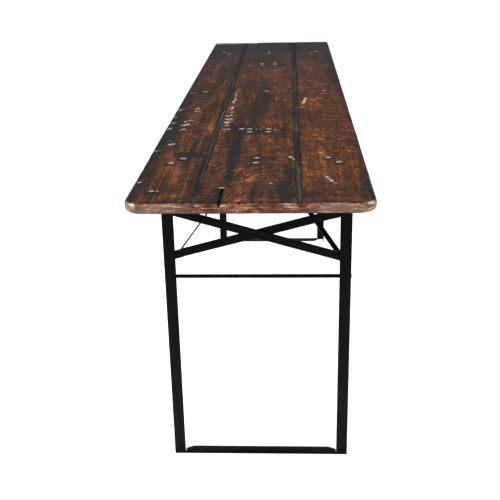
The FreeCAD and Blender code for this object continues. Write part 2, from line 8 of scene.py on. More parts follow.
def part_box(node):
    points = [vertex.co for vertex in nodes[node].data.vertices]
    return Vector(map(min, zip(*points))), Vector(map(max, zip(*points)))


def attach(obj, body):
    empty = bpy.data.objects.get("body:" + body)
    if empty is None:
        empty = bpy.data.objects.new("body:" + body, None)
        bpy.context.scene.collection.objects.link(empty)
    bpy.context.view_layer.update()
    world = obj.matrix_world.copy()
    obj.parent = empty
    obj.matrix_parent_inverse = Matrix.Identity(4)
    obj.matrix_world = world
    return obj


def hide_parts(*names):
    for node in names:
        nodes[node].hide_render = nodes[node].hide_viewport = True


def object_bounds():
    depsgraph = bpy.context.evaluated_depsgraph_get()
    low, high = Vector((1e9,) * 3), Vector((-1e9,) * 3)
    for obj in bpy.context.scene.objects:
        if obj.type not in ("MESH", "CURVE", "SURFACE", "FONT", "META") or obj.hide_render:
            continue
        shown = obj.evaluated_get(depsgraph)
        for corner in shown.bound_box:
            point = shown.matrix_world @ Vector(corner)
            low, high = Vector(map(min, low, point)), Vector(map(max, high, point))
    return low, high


# Folding beer garden table: worn plank top on two black folding leg frames. Metres, Z up.
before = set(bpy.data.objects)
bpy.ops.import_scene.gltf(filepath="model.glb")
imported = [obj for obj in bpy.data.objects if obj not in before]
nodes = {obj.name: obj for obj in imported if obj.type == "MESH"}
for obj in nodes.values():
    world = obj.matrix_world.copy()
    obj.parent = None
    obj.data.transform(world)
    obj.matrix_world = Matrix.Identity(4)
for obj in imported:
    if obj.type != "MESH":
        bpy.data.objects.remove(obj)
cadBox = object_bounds()
print("frame loaded with", len(nodes), "nodes")

scene = bpy.context.scene
scene.view_settings.view_transform = "Standard"
topHeight = cadBox[1].z
nearEnd = round(cadBox[0].y, 4)
farEnd = round(cadBox[1].y, 4)
topLength = farEnd - nearEnd
sameSpot = 1e-5  # places closer than this count as one


# Small tools for working in object and edit mode

def clearSelection():
    if bpy.context.object and bpy.context.object.mode != "OBJECT":
        bpy.ops.object.mode_set(mode="OBJECT")
    bpy.ops.object.select_all(action="DESELECT")


def activate(piece):
    clearSelection()
    piece.select_set(True)
    bpy.context.view_layer.objects.active = piece


def startEdit(piece):
    activate(piece)
    bpy.ops.object.mode_set(mode="EDIT")


def stopEdit():
    bpy.ops.object.mode_set(mode="OBJECT")


def newObject(name, data):
    thing = bpy.data.objects.new(name, data)
    scene.collection.objects.link(thing)
    return thing


def named(piece, name):
    piece.name = name
    piece.data.name = name
    return piece


def camel(node):  # near_left_leg becomes nearLeftLeg
    words = node.split("_")
    return words[0] + "".join(word.title() for word in words[1:])


def pickEdges(piece, test):  # selects only the edges that the test accepts, in edit mode
    bpy.ops.mesh.select_mode(type="EDGE")
    bpy.ops.mesh.select_all(action="DESELECT")
    mesh = bmesh.from_edit_mesh(piece.data)
    for edge in mesh.edges:
        if test(edge):
            edge.select_set(True)
    mesh.select_flush_mode()
    bmesh.update_edit_mesh(piece.data)


def edgeRun(edge, axis):  # how far an edge runs along an axis
    return abs(edge.verts[0].co[axis] - edge.verts[1].co[axis])


def edgeAt(edge, axis, value):  # whether a whole edge lies at a place on an axis
    return all(abs(vert.co[axis] - value) < sameSpot for vert in edge.verts)


def startBlock(name, low, high):  # cube primitive at its size and place
    clearSelection()
    centre = [(a + b) / 2 for a, b in zip(low, high)]
    size = [b - a for a, b in zip(low, high)]
    bpy.ops.mesh.primitive_cube_add(size=1, location=centre, scale=size)
    piece = named(bpy.context.object, name)
    bpy.ops.object.transform_apply(location=True, rotation=True, scale=True)
    return piece


def bevelEdges(piece, test, width, segments):
    startEdit(piece)
    pickEdges(piece, test)
    bpy.ops.mesh.bevel(offset=width, segments=segments, profile=0.5, affect="EDGES")
    stopEdit()


def cutAlong(piece, shortest, cuts):  # subdivides the edges that run along Y
    startEdit(piece)
    pickEdges(piece, lambda edge: edgeRun(edge, 1) > shortest)
    bpy.ops.mesh.subdivide(number_cuts=cuts)
    stopEdit()


def applyModifier(piece, kind, **settings):
    activate(piece)
    modifier = piece.modifiers.new("work", kind)
    for key, value in settings.items():
        setattr(modifier, key, value)
    bpy.ops.object.modifier_apply(modifier=modifier.name)


def smooth(piece, degrees):
    activate(piece)
    bpy.ops.object.shade_smooth_by_angle(angle=math.radians(degrees))


def turned(name, outline, sides):  # round piece on the Z axis from (radius, height) steps
    clearSelection()
    radius, height = outline[0]
    bpy.ops.mesh.primitive_circle_add(vertices=sides, radius=radius, fill_type="NGON",
                                      location=(0, 0, height))
    piece = named(bpy.context.object, name)
    bpy.ops.object.transform_apply(location=True, rotation=True, scale=True)
    startEdit(piece)
    bpy.ops.mesh.select_all(action="SELECT")
    for nextRadius, nextHeight in outline[1:]:
        climb = (0, 0, nextHeight - height)
        bpy.ops.mesh.extrude_region_move(TRANSFORM_OT_translate={"value": climb})
        ratio = nextRadius / radius
        bpy.ops.transform.resize(value=(ratio, ratio, 1), center_override=(0, 0, nextHeight))
        radius = nextRadius
        height = nextHeight
    bpy.ops.mesh.select_all(action="SELECT")
    bpy.ops.mesh.normals_make_consistent(inside=False)
    stopEdit()
    return piece


def copyTo(name, pattern, places):  # copies of one modelled piece, joined, each with its own mesh
    copies = []
    for place in places:
        twin = newObject(name, pattern.data.copy())
        twin.data.transform(place)
        copies.append(twin)
    clearSelection()
    for twin in copies:
        twin.select_set(True)
    bpy.context.view_layer.objects.active = copies[0]
    if len(copies) > 1:
        bpy.ops.object.join()
    return named(copies[0], name)


def dropObject(piece):
    bpy.data.objects.remove(piece)


# Shader building blocks

def wire(tree, node, wires):  # sets a node's inputs, or links them
    for key, value in wires.items():
        if isinstance(value, bpy.types.NodeSocket):
            tree.links.new(value, node.inputs[key])
        else:
            node.inputs[key].default_value = value
    return node


def put(tree, kind, settings, wires):  # a new node with its settings and inputs
    node = tree.nodes.new("ShaderNode" + kind)
    for key, value in settings.items():
        setattr(node, key, value)
    return wire(tree, node, wires)


def calc(tree, operation, *values, clamp=False):
    settings = {"operation": operation, "use_clamp": clamp}
    return put(tree, "Math", settings, dict(enumerate(values))).outputs[0]


def weighted(tree, total, *parts):  # the total plus each value times its share
    for value, share in parts:
        total = calc(tree, "MULTIPLY_ADD", value, share, total)
    return total


def vectorCalc(tree, operation, first, second):
    settings = {"operation": operation}
    return put(tree, "VectorMath", settings, {0: first, 1: second}).outputs


def axisValue(tree, vector, axis):
    return put(tree, "SeparateXYZ", {}, {0: vector}).outputs[axis]


def tint(tree, first, second, mask, share=1.0):  # lays the second colour over the first
    if share != 1.0:
        mask = calc(tree, "MULTIPLY", mask, share)
    return put(tree, "Mix", {"data_type": "RGBA"}, {0: mask, 6: first, 7: second}).outputs[2]


def spread(tree, value, low, high, outLow=0.0, outHigh=1.0):
    wires = {"Value": value, "From Min": low, "From Max": high, "To Min": outLow, "To Max": outHigh}
    return put(tree, "MapRange", {"interpolation_type": "SMOOTHSTEP"}, wires).outputs[0]


def colourRamp(tree, value, stops):
    node = put(tree, "ValToRGB", {}, {"Fac": value})
    elements = node.color_ramp.elements
    while len(elements) < len(stops):
        elements.new(0.5)
    for element, (position, colour) in zip(elements, stops):
        element.position = position
        element.color = (*colour, 1.0)
    return node.outputs["Color"]


def noise(tree, coords, scale, detail, roughness=0.5, bend=0.0):
    wires = {"Vector": coords, "Scale": scale, "Detail": detail, "Roughness": roughness,
             "Distortion": bend}
    return put(tree, "TexNoise", {}, wires).outputs[0]


def bump(tree, height, distance, strength):
    wires = {"Height": height, "Distance": distance, "Strength": strength}
    return put(tree, "Bump", {}, wires).outputs[0]


def attributeValue(tree, name):
    return put(tree, "Attribute", {"attribute_name": name}, {}).outputs["Fac"]


def newGroup(name, vectors, numbers, outputs):
    group = bpy.data.node_groups.new(name, "ShaderNodeTree")
    for kind, inputs in (("NodeSocketVector", vectors), ("NodeSocketFloat", numbers)):
        for label, value in inputs.items():
            socket = group.interface.new_socket(label, in_out="INPUT", socket_type=kind)
            socket.default_value = value
    for label in outputs:
        group.interface.new_socket(label, in_out="OUTPUT", socket_type="NodeSocketFloat")
    start = group.nodes.new("NodeGroupInput")
    end = group.nodes.new("NodeGroupOutput")
    return group, start.outputs, end


def useGroup(tree, group, coords, **wires):
    return put(tree, "Group", {"node_tree": group}, {"vector": coords, **wires}).outputs


def newMaterial(name):
    material = bpy.data.materials.new(name)
    material.use_nodes = True
    tree = material.node_tree
    coords = tree.nodes.new("ShaderNodeTexCoord").outputs["Object"]
    return material, tree, tree.nodes["Principled BSDF"], coords


# Streaks: noise drawn out along an axis, as raw value and as mask
def makeStreaks():
    vectors = {"vector": (0, 0, 0), "stretch": (1, 1, 1), "turn": (0, 0, 0), "seed": (0, 0, 0)}
    numbers = {"bend": 0.4, "low": 0.4, "high": 0.6}
    tree, given, end = newGroup("streaks", vectors, numbers, ("raw", "mask"))
    place = put(tree, "VectorRotate", {"rotation_type": "EULER_XYZ"},
                {"Vector": given["vector"], "Rotation": given["turn"]}).outputs[0]
    place = vectorCalc(tree, "MULTIPLY", place, given["stretch"])[0]
    place = vectorCalc(tree, "ADD", place, given["seed"])[0]
    raw = noise(tree, place, 1.0, 4.0, 0.62, given["bend"])
    wire(tree, end, {"raw": raw, "mask": spread(tree, raw, given["low"], given["high"])})
    return tree


# Ragged mask: a soft value broken up by fine noise, so that its rim is crisp and uneven
def makeRagged():
    numbers = {"value": 0.0, "scale": 200.0, "amount": 0.6, "edge": 0.15}
    tree, given, end = newGroup("raggedMask", {"vector": (0, 0, 0)}, numbers, ("mask",))
    crumbs = calc(tree, "SUBTRACT", noise(tree, given["vector"], given["scale"], 3.0, 0.65), 0.5)
    value = weighted(tree, given["value"], (calc(tree, "MULTIPLY", crumbs, given["amount"]), 2.0))
    low = calc(tree, "SUBTRACT", 0.5, given["edge"])
    high = calc(tree, "ADD", 0.5, given["edge"])
    wire(tree, end, {"mask": spread(tree, value, low, high)})
    return tree


# Edge rub and sheen: where a rounded copy of the normal leaves the true one, paint is thin, and the edge
# is painted lighter as worn paint and as a painted edge highlight
def makeRubAndSheen():
    numbers = {"reach": 0.0012, "scale": 90.0}
    tree, given, end = newGroup("edgeRubAndSheen", {"vector": (0, 0, 0)}, numbers, ("mask",))
    rounded = put(tree, "Bevel", {"samples": 4}, {"Radius": given["reach"]}).outputs[0]
    plain = tree.nodes.new("ShaderNodeNewGeometry").outputs["Normal"]
    edge = spread(tree, vectorCalc(tree, "DOT_PRODUCT", rounded, plain)["Value"], 0.995, 0.86)
    patchy = spread(tree, noise(tree, given["vector"], given["scale"], 3.0), 0.42, 0.62)
    wire(tree, end, {"mask": calc(tree, "MULTIPLY", edge, patchy)})
    return tree


streakGroup = makeStreaks()
raggedGroup = makeRagged()
rubAndSheenGroup = makeRubAndSheen()
print("shader groups ready")

# Stained and worn plank wood, one material for each board
plankFinish = {  # sawAngle turns the saw marks; saw, grain, fleck and base warm the wood
    "leftPlank": {"seed": (3.1, 0.4, 0.0), "sawAngle": 0.50, "saw": 0.26, "grain": 0.36,
                  "fleck": 0.26, "base": 0.035, "pale": 0.20},
    "middlePlank": {"seed": (8.7, 2.9, 1.0), "sawAngle": 0.70, "saw": 0.36, "grain": 0.22,
                    "fleck": 0.28, "base": 0.10, "pale": 0.18},
    "rightPlank": {"seed": (1.9, 6.3, 2.0), "sawAngle": -0.50, "saw": 0.36, "grain": 0.18,
                   "fleck": 0.28, "base": 0.135, "pale": 0.0},
}
plankShares = {"broad": 0.22, "ember": 0.26, "soot": -0.30, "darkFleck": -0.22, "darkGrain": -0.16}
plankColours = [
    (0.00, (0.0150, 0.0096, 0.0080)),
    (0.22, (0.026, 0.0142, 0.0100)),
    (0.42, (0.047, 0.0214, 0.0126)),
    (0.58, (0.078, 0.0262, 0.0110)),
    (0.78, (0.145, 0.044, 0.0145)),
    (1.00, (0.320, 0.120, 0.042)),
]
endColours = [
    (0.00, (0.045, 0.014, 0.007)),
    (0.35, (0.110, 0.036, 0.016)),
    (0.65, (0.215, 0.084, 0.038)),
    (1.00, (0.520, 0.330, 0.235)),
]
plankTints = {
    "pale": (0.150, 0.095, 0.066, 1), "soot": (0.0118, 0.0124, 0.0126, 1),
    "fade": (0.031, 0.034, 0.039, 1), "band": (0.33, 0.26, 0.235, 1),
    "grime": (0.006, 0.006, 0.006, 1), "scrape": (0.38, 0.38, 0.385, 1),
}
paintLayers = ("soot", "ember", "scrape", "endWear", "grime", "polish", "fade", "bandSheen")


def plankMaterial(name, look):
    material, tree, shader, coords = newMaterial(name)
    painted = {layer: attributeValue(tree, layer) for layer in paintLayers}

    def streaks(stretch, **more):
        return useGroup(tree, streakGroup, coords, stretch=stretch, seed=look["seed"], **more)

    def ragged(layer, scale, amount, edge):
        return useGroup(tree, raggedGroup, coords, value=painted[layer], scale=scale, amount=amount,
                        edge=edge)["mask"]

    grain = streaks((105, 3.2, 105), bend=0.7, low=0.42, high=0.62)
    broad = streaks((22, 2.4, 22), bend=1.4, low=0.36, high=0.64)
    saw = streaks((12, 72, 12), turn=(0, 0, -look["sawAngle"]), bend=1.8, low=0.47, high=0.61)
    fleck = streaks((64, 34, 64), bend=1.6, low=0.53, high=0.66)
    blotch = streaks((16, 9, 16), bend=1.2, low=0.38, high=0.62)
    pores = streaks((48, 150, 260), bend=0.6)["raw"]
    soot = ragged("soot", 75.0, 0.75, 0.34)
    # warmth of the wood, from dark to bright, with grain and saw marks in separate patches
    grainPatch = spread(tree, blotch["mask"], 0.0, 1.0, 1.0, 0.4)
    sawPatch = spread(tree, blotch["mask"], 0.0, 1.0, 0.25, 1.0)
    warmth = weighted(
        tree, look["base"],
        (calc(tree, "MULTIPLY", grain["mask"], grainPatch), look["grain"]),
        (calc(tree, "MULTIPLY", saw["mask"], sawPatch), look["saw"]),
        (fleck["mask"], look["fleck"]),
        (broad["mask"], plankShares["broad"]),
        (painted["ember"], plankShares["ember"]),
        (soot, plankShares["soot"]),
        (spread(tree, fleck["raw"], 0.47, 0.36), plankShares["darkFleck"]),
        (spread(tree, grain["raw"], 0.44, 0.33), plankShares["darkGrain"]))
    colour = colourRamp(tree, warmth, plankColours)
    colour = tint(tree, colour, plankTints["pale"], spread(tree, warmth, 0.45, 0.8, 0.0, look["pale"]))
    colour = tint(tree, colour, plankTints["soot"], soot, 0.80)
    # painted sheen toward the far end, in bluish grey
    colour = tint(tree, colour, plankTints["fade"], painted["fade"])
    # end grain: worn bullnose with pores, paler toward the band's sides as painted sheen
    endTone = weighted(tree, -1.50, (pores, 2.6), (blotch["raw"], 1.4), (painted["bandSheen"], 0.10))
    endColour = colourRamp(tree, endTone, endColours)
    endColour = tint(tree, endColour, plankTints["band"], painted["bandSheen"], 0.30)
    endMask = ragged("endWear", 160.0, 0.3, 0.2)
    colour = tint(tree, colour, endColour, endMask)
    # darkening along the arris, and painted shade under the edge and in front of each bolt head
    grime = ragged("grime", 120.0, 0.5, 0.3)
    colour = tint(tree, colour, plankTints["grime"], grime, 0.85)
    # pale scrapes and flecks of old paint, together with painted glints and highlights on the rims,
    # corners, dent and split
    scrape = spread(tree, painted["scrape"], 0.05, 0.2, 0.0, 0.7)
    scrape = calc(tree, "MULTIPLY", scrape, ragged("scrape", 105.0, 1.0, 0.12))
    colour = tint(tree, colour, plankTints["scrape"], scrape)
    varnish = calc(tree, "MULTIPLY", endMask, spread(tree, grime, 0.0, 1.0, 0.3, 0.0))
    relief = weighted(tree, 0.0, (grain["raw"], 0.5), (saw["raw"], 0.6), (pores, 0.25))
    wire(tree, shader, {
        "Base Color": colour,
        "Roughness": weighted(tree, 0.40, (grain["raw"], 0.3), (endMask, -0.20)),
        "Coat Weight": calc(tree, "MAXIMUM", varnish, painted["polish"]),
        "Coat Roughness": 0.12,
        "Specular IOR Level": 0.004,
        "Normal": bump(tree, relief, 0.0016, 0.55)})
    return material


# Rough sawn battens, stained thinly
battenColours = [(0.0, (0.030, 0.021, 0.016)), (0.5, (0.075, 0.040, 0.025)), (1.0, (0.19, 0.105, 0.06))]


def battenMaterial():
    material, tree, shader, coords = newMaterial("battenWood")
    grain = useGroup(tree, streakGroup, coords, stretch=(3, 110, 110), bend=0.5, low=0.35, high=0.68)
    blotch = useGroup(tree, streakGroup, coords, stretch=(9, 22, 22), seed=(4, 4, 4), low=0.35,
                      high=0.65)
    tone = weighted(tree, 0.0, (grain["mask"], 0.55), (blotch["mask"], 0.4))
    wire(tree, shader, {
        "Base Color": colourRamp(tree, tone, battenColours),
        "Roughness": spread(tree, grain["raw"], 0.3, 0.7, 0.62, 0.85),
        "Normal": bump(tree, grain["raw"], 0.0015, 0.6)})
    return material


# Dark filler, darker at its lips, stained like the boards at its ends
fillerColours = [(0.0, (0.003, 0.0031, 0.0031)), (0.55, (0.0165, 0.0166, 0.0152)),
                 (1.0, (0.052, 0.050, 0.043))]
fillerStain = (0.0035, 0.0015)  # stained from and to this far from its ends


def fillerMaterial():
    material, tree, shader, coords = newMaterial("seamFiller")
    smear = useGroup(tree, streakGroup, coords, stretch=(90, 5, 90), bend=0.8)["raw"]
    crumb = useGroup(tree, streakGroup, coords, stretch=(70, 26, 70), bend=1.2)["raw"]
    fine = noise(tree, coords, 420.0, 3.0)
    tone = weighted(tree, 0.0, (smear, 0.7), (fine, 0.3))
    lip = weighted(tree, attributeValue(tree, "lip"), (crumb, 1.6))
    lip = spread(tree, lip, 1.05, 2.0, 0.0, 0.62)
    level = calc(tree, "SUBTRACT", spread(tree, tone, 0.30, 0.66), lip)
    along = calc(tree, "ABSOLUTE", axisValue(tree, coords, "Y"))
    endMask = spread(tree, along, farEnd - fillerStain[0], farEnd - fillerStain[1])
    stain = colourRamp(tree, spread(tree, fine, 0.3, 0.7), endColours[:3])
    wire(tree, shader, {
        "Base Color": tint(tree, colourRamp(tree, level, fillerColours), stain, endMask),
        "Roughness": spread(tree, smear, 0.3, 0.7, 0.5, 0.75),
        "Specular IOR Level": 0.01,
        "Normal": bump(tree, tone, 0.001, 0.6)})
    return material


# Satin black paint, rubbed grey at the edges (worn paint and a painted edge highlight), with rust freckles
# low down
paintTints = {
    "deep": (0.0018, 0.0021, 0.0025, 1), "mottled": (0.0036, 0.0040, 0.0045, 1),
    "scuffed": (0.010, 0.010, 0.0103, 1), "rust": (0.045, 0.022, 0.012, 1),
    "rubbedAndLit": (0.026, 0.027, 0.029, 1),
}


def paintMaterial():
    material, tree, shader, coords = newMaterial("blackPaint")
    rubAndSheen = useGroup(tree, rubAndSheenGroup, coords)["mask"]
    mottled = useGroup(tree, streakGroup, coords, stretch=(30, 30, 9), low=0.35, high=0.7)
    height = axisValue(tree, coords, "Z")
    scuffed = calc(tree, "MULTIPLY", spread(tree, height, 0.5, 0.08), spread(tree, height, 0.01, 0.03))
    freckles = useGroup(tree, raggedGroup, coords, value=calc(tree, "MULTIPLY", scuffed, 0.36),
                        scale=130.0, amount=0.75, edge=0.06)["mask"]
    colour = tint(tree, paintTints["deep"], paintTints["mottled"], mottled["mask"])
    colour = tint(tree, colour, paintTints["scuffed"], scuffed, 0.55)
    colour = tint(tree, colour, paintTints["rust"], freckles, 0.35)
    colour = tint(tree, colour, paintTints["rubbedAndLit"], rubAndSheen, 0.5)
    rough = spread(tree, mottled["raw"], 0.3, 0.7, 0.36, 0.52)
    wire(tree, shader, {
        "Base Color": colour,
        "Roughness": weighted(tree, rough, (freckles, 0.2)),
        "Specular IOR Level": 0.04,
        "Normal": bump(tree, noise(tree, coords, 700.0, 2.0), 0.0002, 0.3)})
    return material


# Bolts, nuts and springs: a painted highlight on the upper far side of each crown, painted shade on the
# near slopes, and pale edges that are both rubbed and painted as highlights
metalLooks = {
    "boltSteel": {"bright": (0.21, 0.21, 0.21, 1), "dark": (0.012, 0.012, 0.012, 1), "metal": 0.35},
    "springSteel": {"bright": (0.20, 0.21, 0.24, 1), "dark": (0.06, 0.062, 0.07, 1), "metal": 0.9},
}


def metalMaterial(name, look):
    material, tree, shader, coords = newMaterial(name)
    grime = noise(tree, coords, 330.0, 4.0)
    rubAndSheen = useGroup(tree, rubAndSheenGroup, coords, reach=0.0008, scale=300.0)["mask"]
    facing = tree.nodes.new("ShaderNodeNewGeometry").outputs["Normal"]
    upright = calc(tree, "ABSOLUTE", axisValue(tree, facing, "Z"))
    # painted highlight: pale where the surface faces up and away from the near end; the near slopes keep
    # the dark colour as painted shade
    crownHighlight = spread(tree, weighted(tree, upright, (axisValue(tree, facing, "Y"), 0.8)), 0.52, 0.68)
    crownHighlight = calc(tree, "MULTIPLY", crownHighlight, spread(tree, grime, 0.34, 0.52))
    wire(tree, shader, {
        "Base Color": tint(tree, look["dark"], look["bright"], calc(tree, "ADD", crownHighlight, rubAndSheen, clamp=True)),
        "Roughness": spread(tree, grime, 0.35, 0.7, 0.5, 0.3),
        "Metallic": look["metal"],
        "Specular IOR Level": 0.1,
        "Normal": bump(tree, grime, 0.0003, 0.4)})
    return material


planks = {name: plankMaterial(name, look) for name, look in plankFinish.items()}
battenWood = battenMaterial()
seamFiller = fillerMaterial()
blackPaint = paintMaterial()
metals = {name: metalMaterial(name, look) for name, look in metalLooks.items()}
print("materials ready:", len(bpy.data.materials))


def finishPiece(piece, material, body, slot, *replaced):
    piece.data.materials.clear()
    piece.data.materials.append(material)
    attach(piece, body)
    if replaced:
        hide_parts(*replaced)


# Plank top: three boards carved from rounded blocks, remeshed fine and worn down

plankTop = {
    "nearCorner": 0.040, "farCorner": 0.0105, "topRound": 0.0095, "bottomRound": 0.004,
    "voxel": 0.0033, "sawDepth": 0.0009, "grainDepth": 0.0010, "hollowDepth": 0.0012,
    "rimWear": 0.0014, "underDepth": 0.0008, "endMargin": 0.03, "sawSize": (0.11, 0.013, 0.1),
    "grainSize": (0.011, 0.34, 0.1), "seamsWithin": 0.2, "seamWave": 0.012, "seamCuts": 260,
    "pinchReach": 0.2, "jointSpare": 0.006, "jointClose": 0.0002, "checkCuts": 14,
    "boltPocket": 0.0090, "pocketDepth": 0.0037, "headGap": 0.004, "cutterRise": 0.004,
}
boltNodes = ("batten_bolts", "near_rail_bolts", "far_rail_bolts", "near_latch_bolts", "far_latch_bolts")


def crowns(node):  # (x, y) of each bolt head's highest point
    spots = []
    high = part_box(node)[1].z
    for vert in nodes[node].data.vertices:
        x, y, z = vert.co
        fresh = all(math.hypot(x - spotX, y - spotY) > plankTop["headGap"] for spotX, spotY in spots)
        if z > high - sameSpot and fresh:
            spots.append((x, y))
    return spots


boltRows = {node: crowns(node) for node in boltNodes}
boltSpots = [spot for row in boltRows.values() for spot in row]
dents = [(-0.188, 0.071, 0.0095, 0.0030), (-0.010, 0.020, 0.0060, 0.0018)]  # x, along, radius, depth
checks = [  # drying checks: x, from and to along the board from the near end, width, depth, wander
    (-0.056, -0.01, 0.097, 0.0088, 0.0095, 0.0004),
    (-0.050, 0.130, 0.430, 0.0018, 0.0026, 0.0016),
    (-0.046, 0.470, 0.640, 0.0018, 0.0026, 0.0016),
    (-0.170, 2.090, 2.21, 0.0034, 0.0070, 0.0020),
    (0.020, 2.120, 2.21, 0.0040, 0.0070, 0.0020),
    (0.150, 2.060, 2.21, 0.0030, 0.0060, 0.0020),
    (0.128, 1.210, 1.480, 0.0026, 0.0030, 0.0022),
    (-0.160, 1.300, 1.520, 0.0026, 0.0030, 0.0022),
]
seams = {  # low and high name the wander of each lip, shared by the boards and the filler
    "leftSeam": {"node": "left_seam_filler", "low": "leftOuter", "high": "leftInner",
                 "bias": 0.15, "pinch": 0.58},
    "rightSeam": {"node": "right_seam_filler", "low": "rightInner", "high": "rightOuter",
                  "bias": 0.20, "pinch": 0.30},
}
wearNoise = {  # size, depth and basis
    "leftOuter": (0.085, 4, "IMPROVED_PERLIN"), "leftInner": (0.110, 4, "IMPROVED_PERLIN"),
    "rightInner": (0.120, 4, "IMPROVED_PERLIN"), "rightOuter": (0.095, 4, "IMPROVED_PERLIN"),
    "saw": (1.0, 2, "IMPROVED_PERLIN"), "grain": (1.0, 2, "IMPROVED_PERLIN"),
    "hollow": (0.09, 2, "ORIGINAL_PERLIN"), "rim": (0.028, 3, "ORIGINAL_PERLIN"),
}
wearTextures = {}
for key, (size, depth, basis) in wearNoise.items():
    wearTextures[key] = bpy.data.textures.new(key, "CLOUDS")
    wearTextures[key].noise_scale = size
    wearTextures[key].noise_depth = depth
    wearTextures[key].noise_basis = basis


def mappingEmpty(stretch, turn=0.0):  # stretches a texture while a piece is worn down
    empty = newObject("mapping", None)
    empty.scale = stretch
    empty.rotation_euler = (0, 0, turn)
    return empty


def meshArrays(piece):
    count = len(piece.data.vertices)
    places = np.empty(count * 3)
    piece.data.vertices.foreach_get("co", places)
    normals = np.empty(count * 3)
    piece.data.vertex_normals.foreach_get("vector", normals)
    return places.reshape(-1, 3), normals.reshape(-1, 3)


def paintLayer(piece, name, values):
    layer = piece.data.attributes.new(name, "FLOAT", "POINT")
    layer.data.foreach_set("value", values.astype(np.float32))


def weightGroup(piece, name, weights, steps=20):
    group = piece.vertex_groups.new(name=name)
    levels = np.round(np.clip(weights, 0, 1) * steps).astype(int)
    for level in range(1, steps + 1):
        chosen = np.nonzero(levels == level)[0]
        if len(chosen):
            group.add(chosen.tolist(), level / steps, "REPLACE")
    return name


def wear(piece, texture, depth, direction, group, middle=1.0, empty=None):
    settings = {"texture": wearTextures[texture], "strength": depth, "mid_level": middle,
                "direction": direction, "vertex_group": group,
                "texture_coords": "OBJECT" if empty else "LOCAL"}
    if empty:
        settings["texture_coords_object"] = empty
    applyModifier(piece, "DISPLACE", **settings)


def stepUp(values, low, high):
    ratio = np.clip((values - low) / (high - low), 0, 1)
    return ratio * ratio * (3 - 2 * ratio)


def carve(piece, cutter):
    applyModifier(piece, "BOOLEAN", object=cutter, operation="DIFFERENCE", solver="MANIFOLD")
    dropObject(cutter)


def pocketCutter(spots):  # one shallow cup for each bolt head
    size = plankTop["boltPocket"]
    bottom = topHeight - plankTop["pocketDepth"]
    outline = [(size * 0.94, bottom), (size, bottom + 0.001),
               (size * 1.12, topHeight + plankTop["cutterRise"])]
    pattern = turned("pocket", outline, 20)
    cutter = copyTo("pockets", pattern, [Matrix.Translation((x, y, 0)) for x, y in spots])
    dropObject(pattern)
    return cutter


def dentCutter(dent):
    x, along, radius, depth = dent
    outline = [(radius * 0.3, topHeight - depth), (radius * 0.75, topHeight - depth * 0.7),
               (radius * 1.2, topHeight + 0.003)]
    cutter = turned("dent", outline, 18)
    cutter.data.transform(Matrix.Translation((x, nearEnd + along, 0)))
    return cutter


def checkCutter(check):  # narrow wedge with a wandering line, from a subdivided block
    x, start, stop, width, depth, wander = check
    low = (x - width / 2, nearEnd + start, topHeight - depth)
    high = (x + width / 2, nearEnd + stop, topHeight + plankTop["cutterRise"])
    cutter = startBlock("check", low, high)
    cutAlong(cutter, (stop - start) / 2, plankTop["checkCuts"])
    for vert in cutter.data.vertices:
        along = (vert.co.y - nearEnd - start) / (stop - start)
        if stop > topLength:
            taper = max(0.12, min(1.0, 3.2 * along))
        elif start < 0:
            taper = max(0.6, min(1.0, 6.0 * (1 - along)))
        else:
            taper = max(0.15, math.sin(math.pi * along))
        foot = 0.35 if vert.co.z < topHeight - depth / 2 else 1.0
        drift = wander * (math.sin(9 * along + 40 * x) + 0.45 * math.sin(31 * along + 90 * x))
        vert.co.x = x + (vert.co.x - x) * taper * foot + drift
    cutter.data.update()
    return cutter


def waveSides(piece, seam):  # lets both sides of a seam wander, each with its own texture
    low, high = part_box(seam["node"])
    places, normals = meshArrays(piece)
    across = np.clip((places[:, 0] - low.x) / (high.x - low.x), 0, 1)
    lowGroup = weightGroup(piece, "lowSide", 1 - across)
    highGroup = weightGroup(piece, "highSide", across)
    wear(piece, seam["low"], plankTop["seamWave"], "X", lowGroup, 0.5 + seam["bias"])
    wear(piece, seam["high"], plankTop["seamWave"], "X", highGroup, 0.5 - seam["bias"])
    places, normals = meshArrays(piece)
    middle = (low.x + high.x) / 2
    pinch = 1 - seam["pinch"] * (1 - stepUp(places[:, 1] - nearEnd, 0.0, plankTop["pinchReach"]))
    places[:, 0] = middle + (places[:, 0] - middle) * pinch
    piece.data.vertices.foreach_set("co", places.ravel())
    piece.data.update()


def seamCutter(seam):
    low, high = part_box(seam["node"])
    high = (high.x, high.y + 0.01, topHeight + plankTop["cutterRise"])
    cutter = startBlock("channel", (low.x, low.y - 0.01, low.z), high)
    cutAlong(cutter, topLength / 2, plankTop["seamCuts"])
    waveSides(cutter, seam)
    return cutter


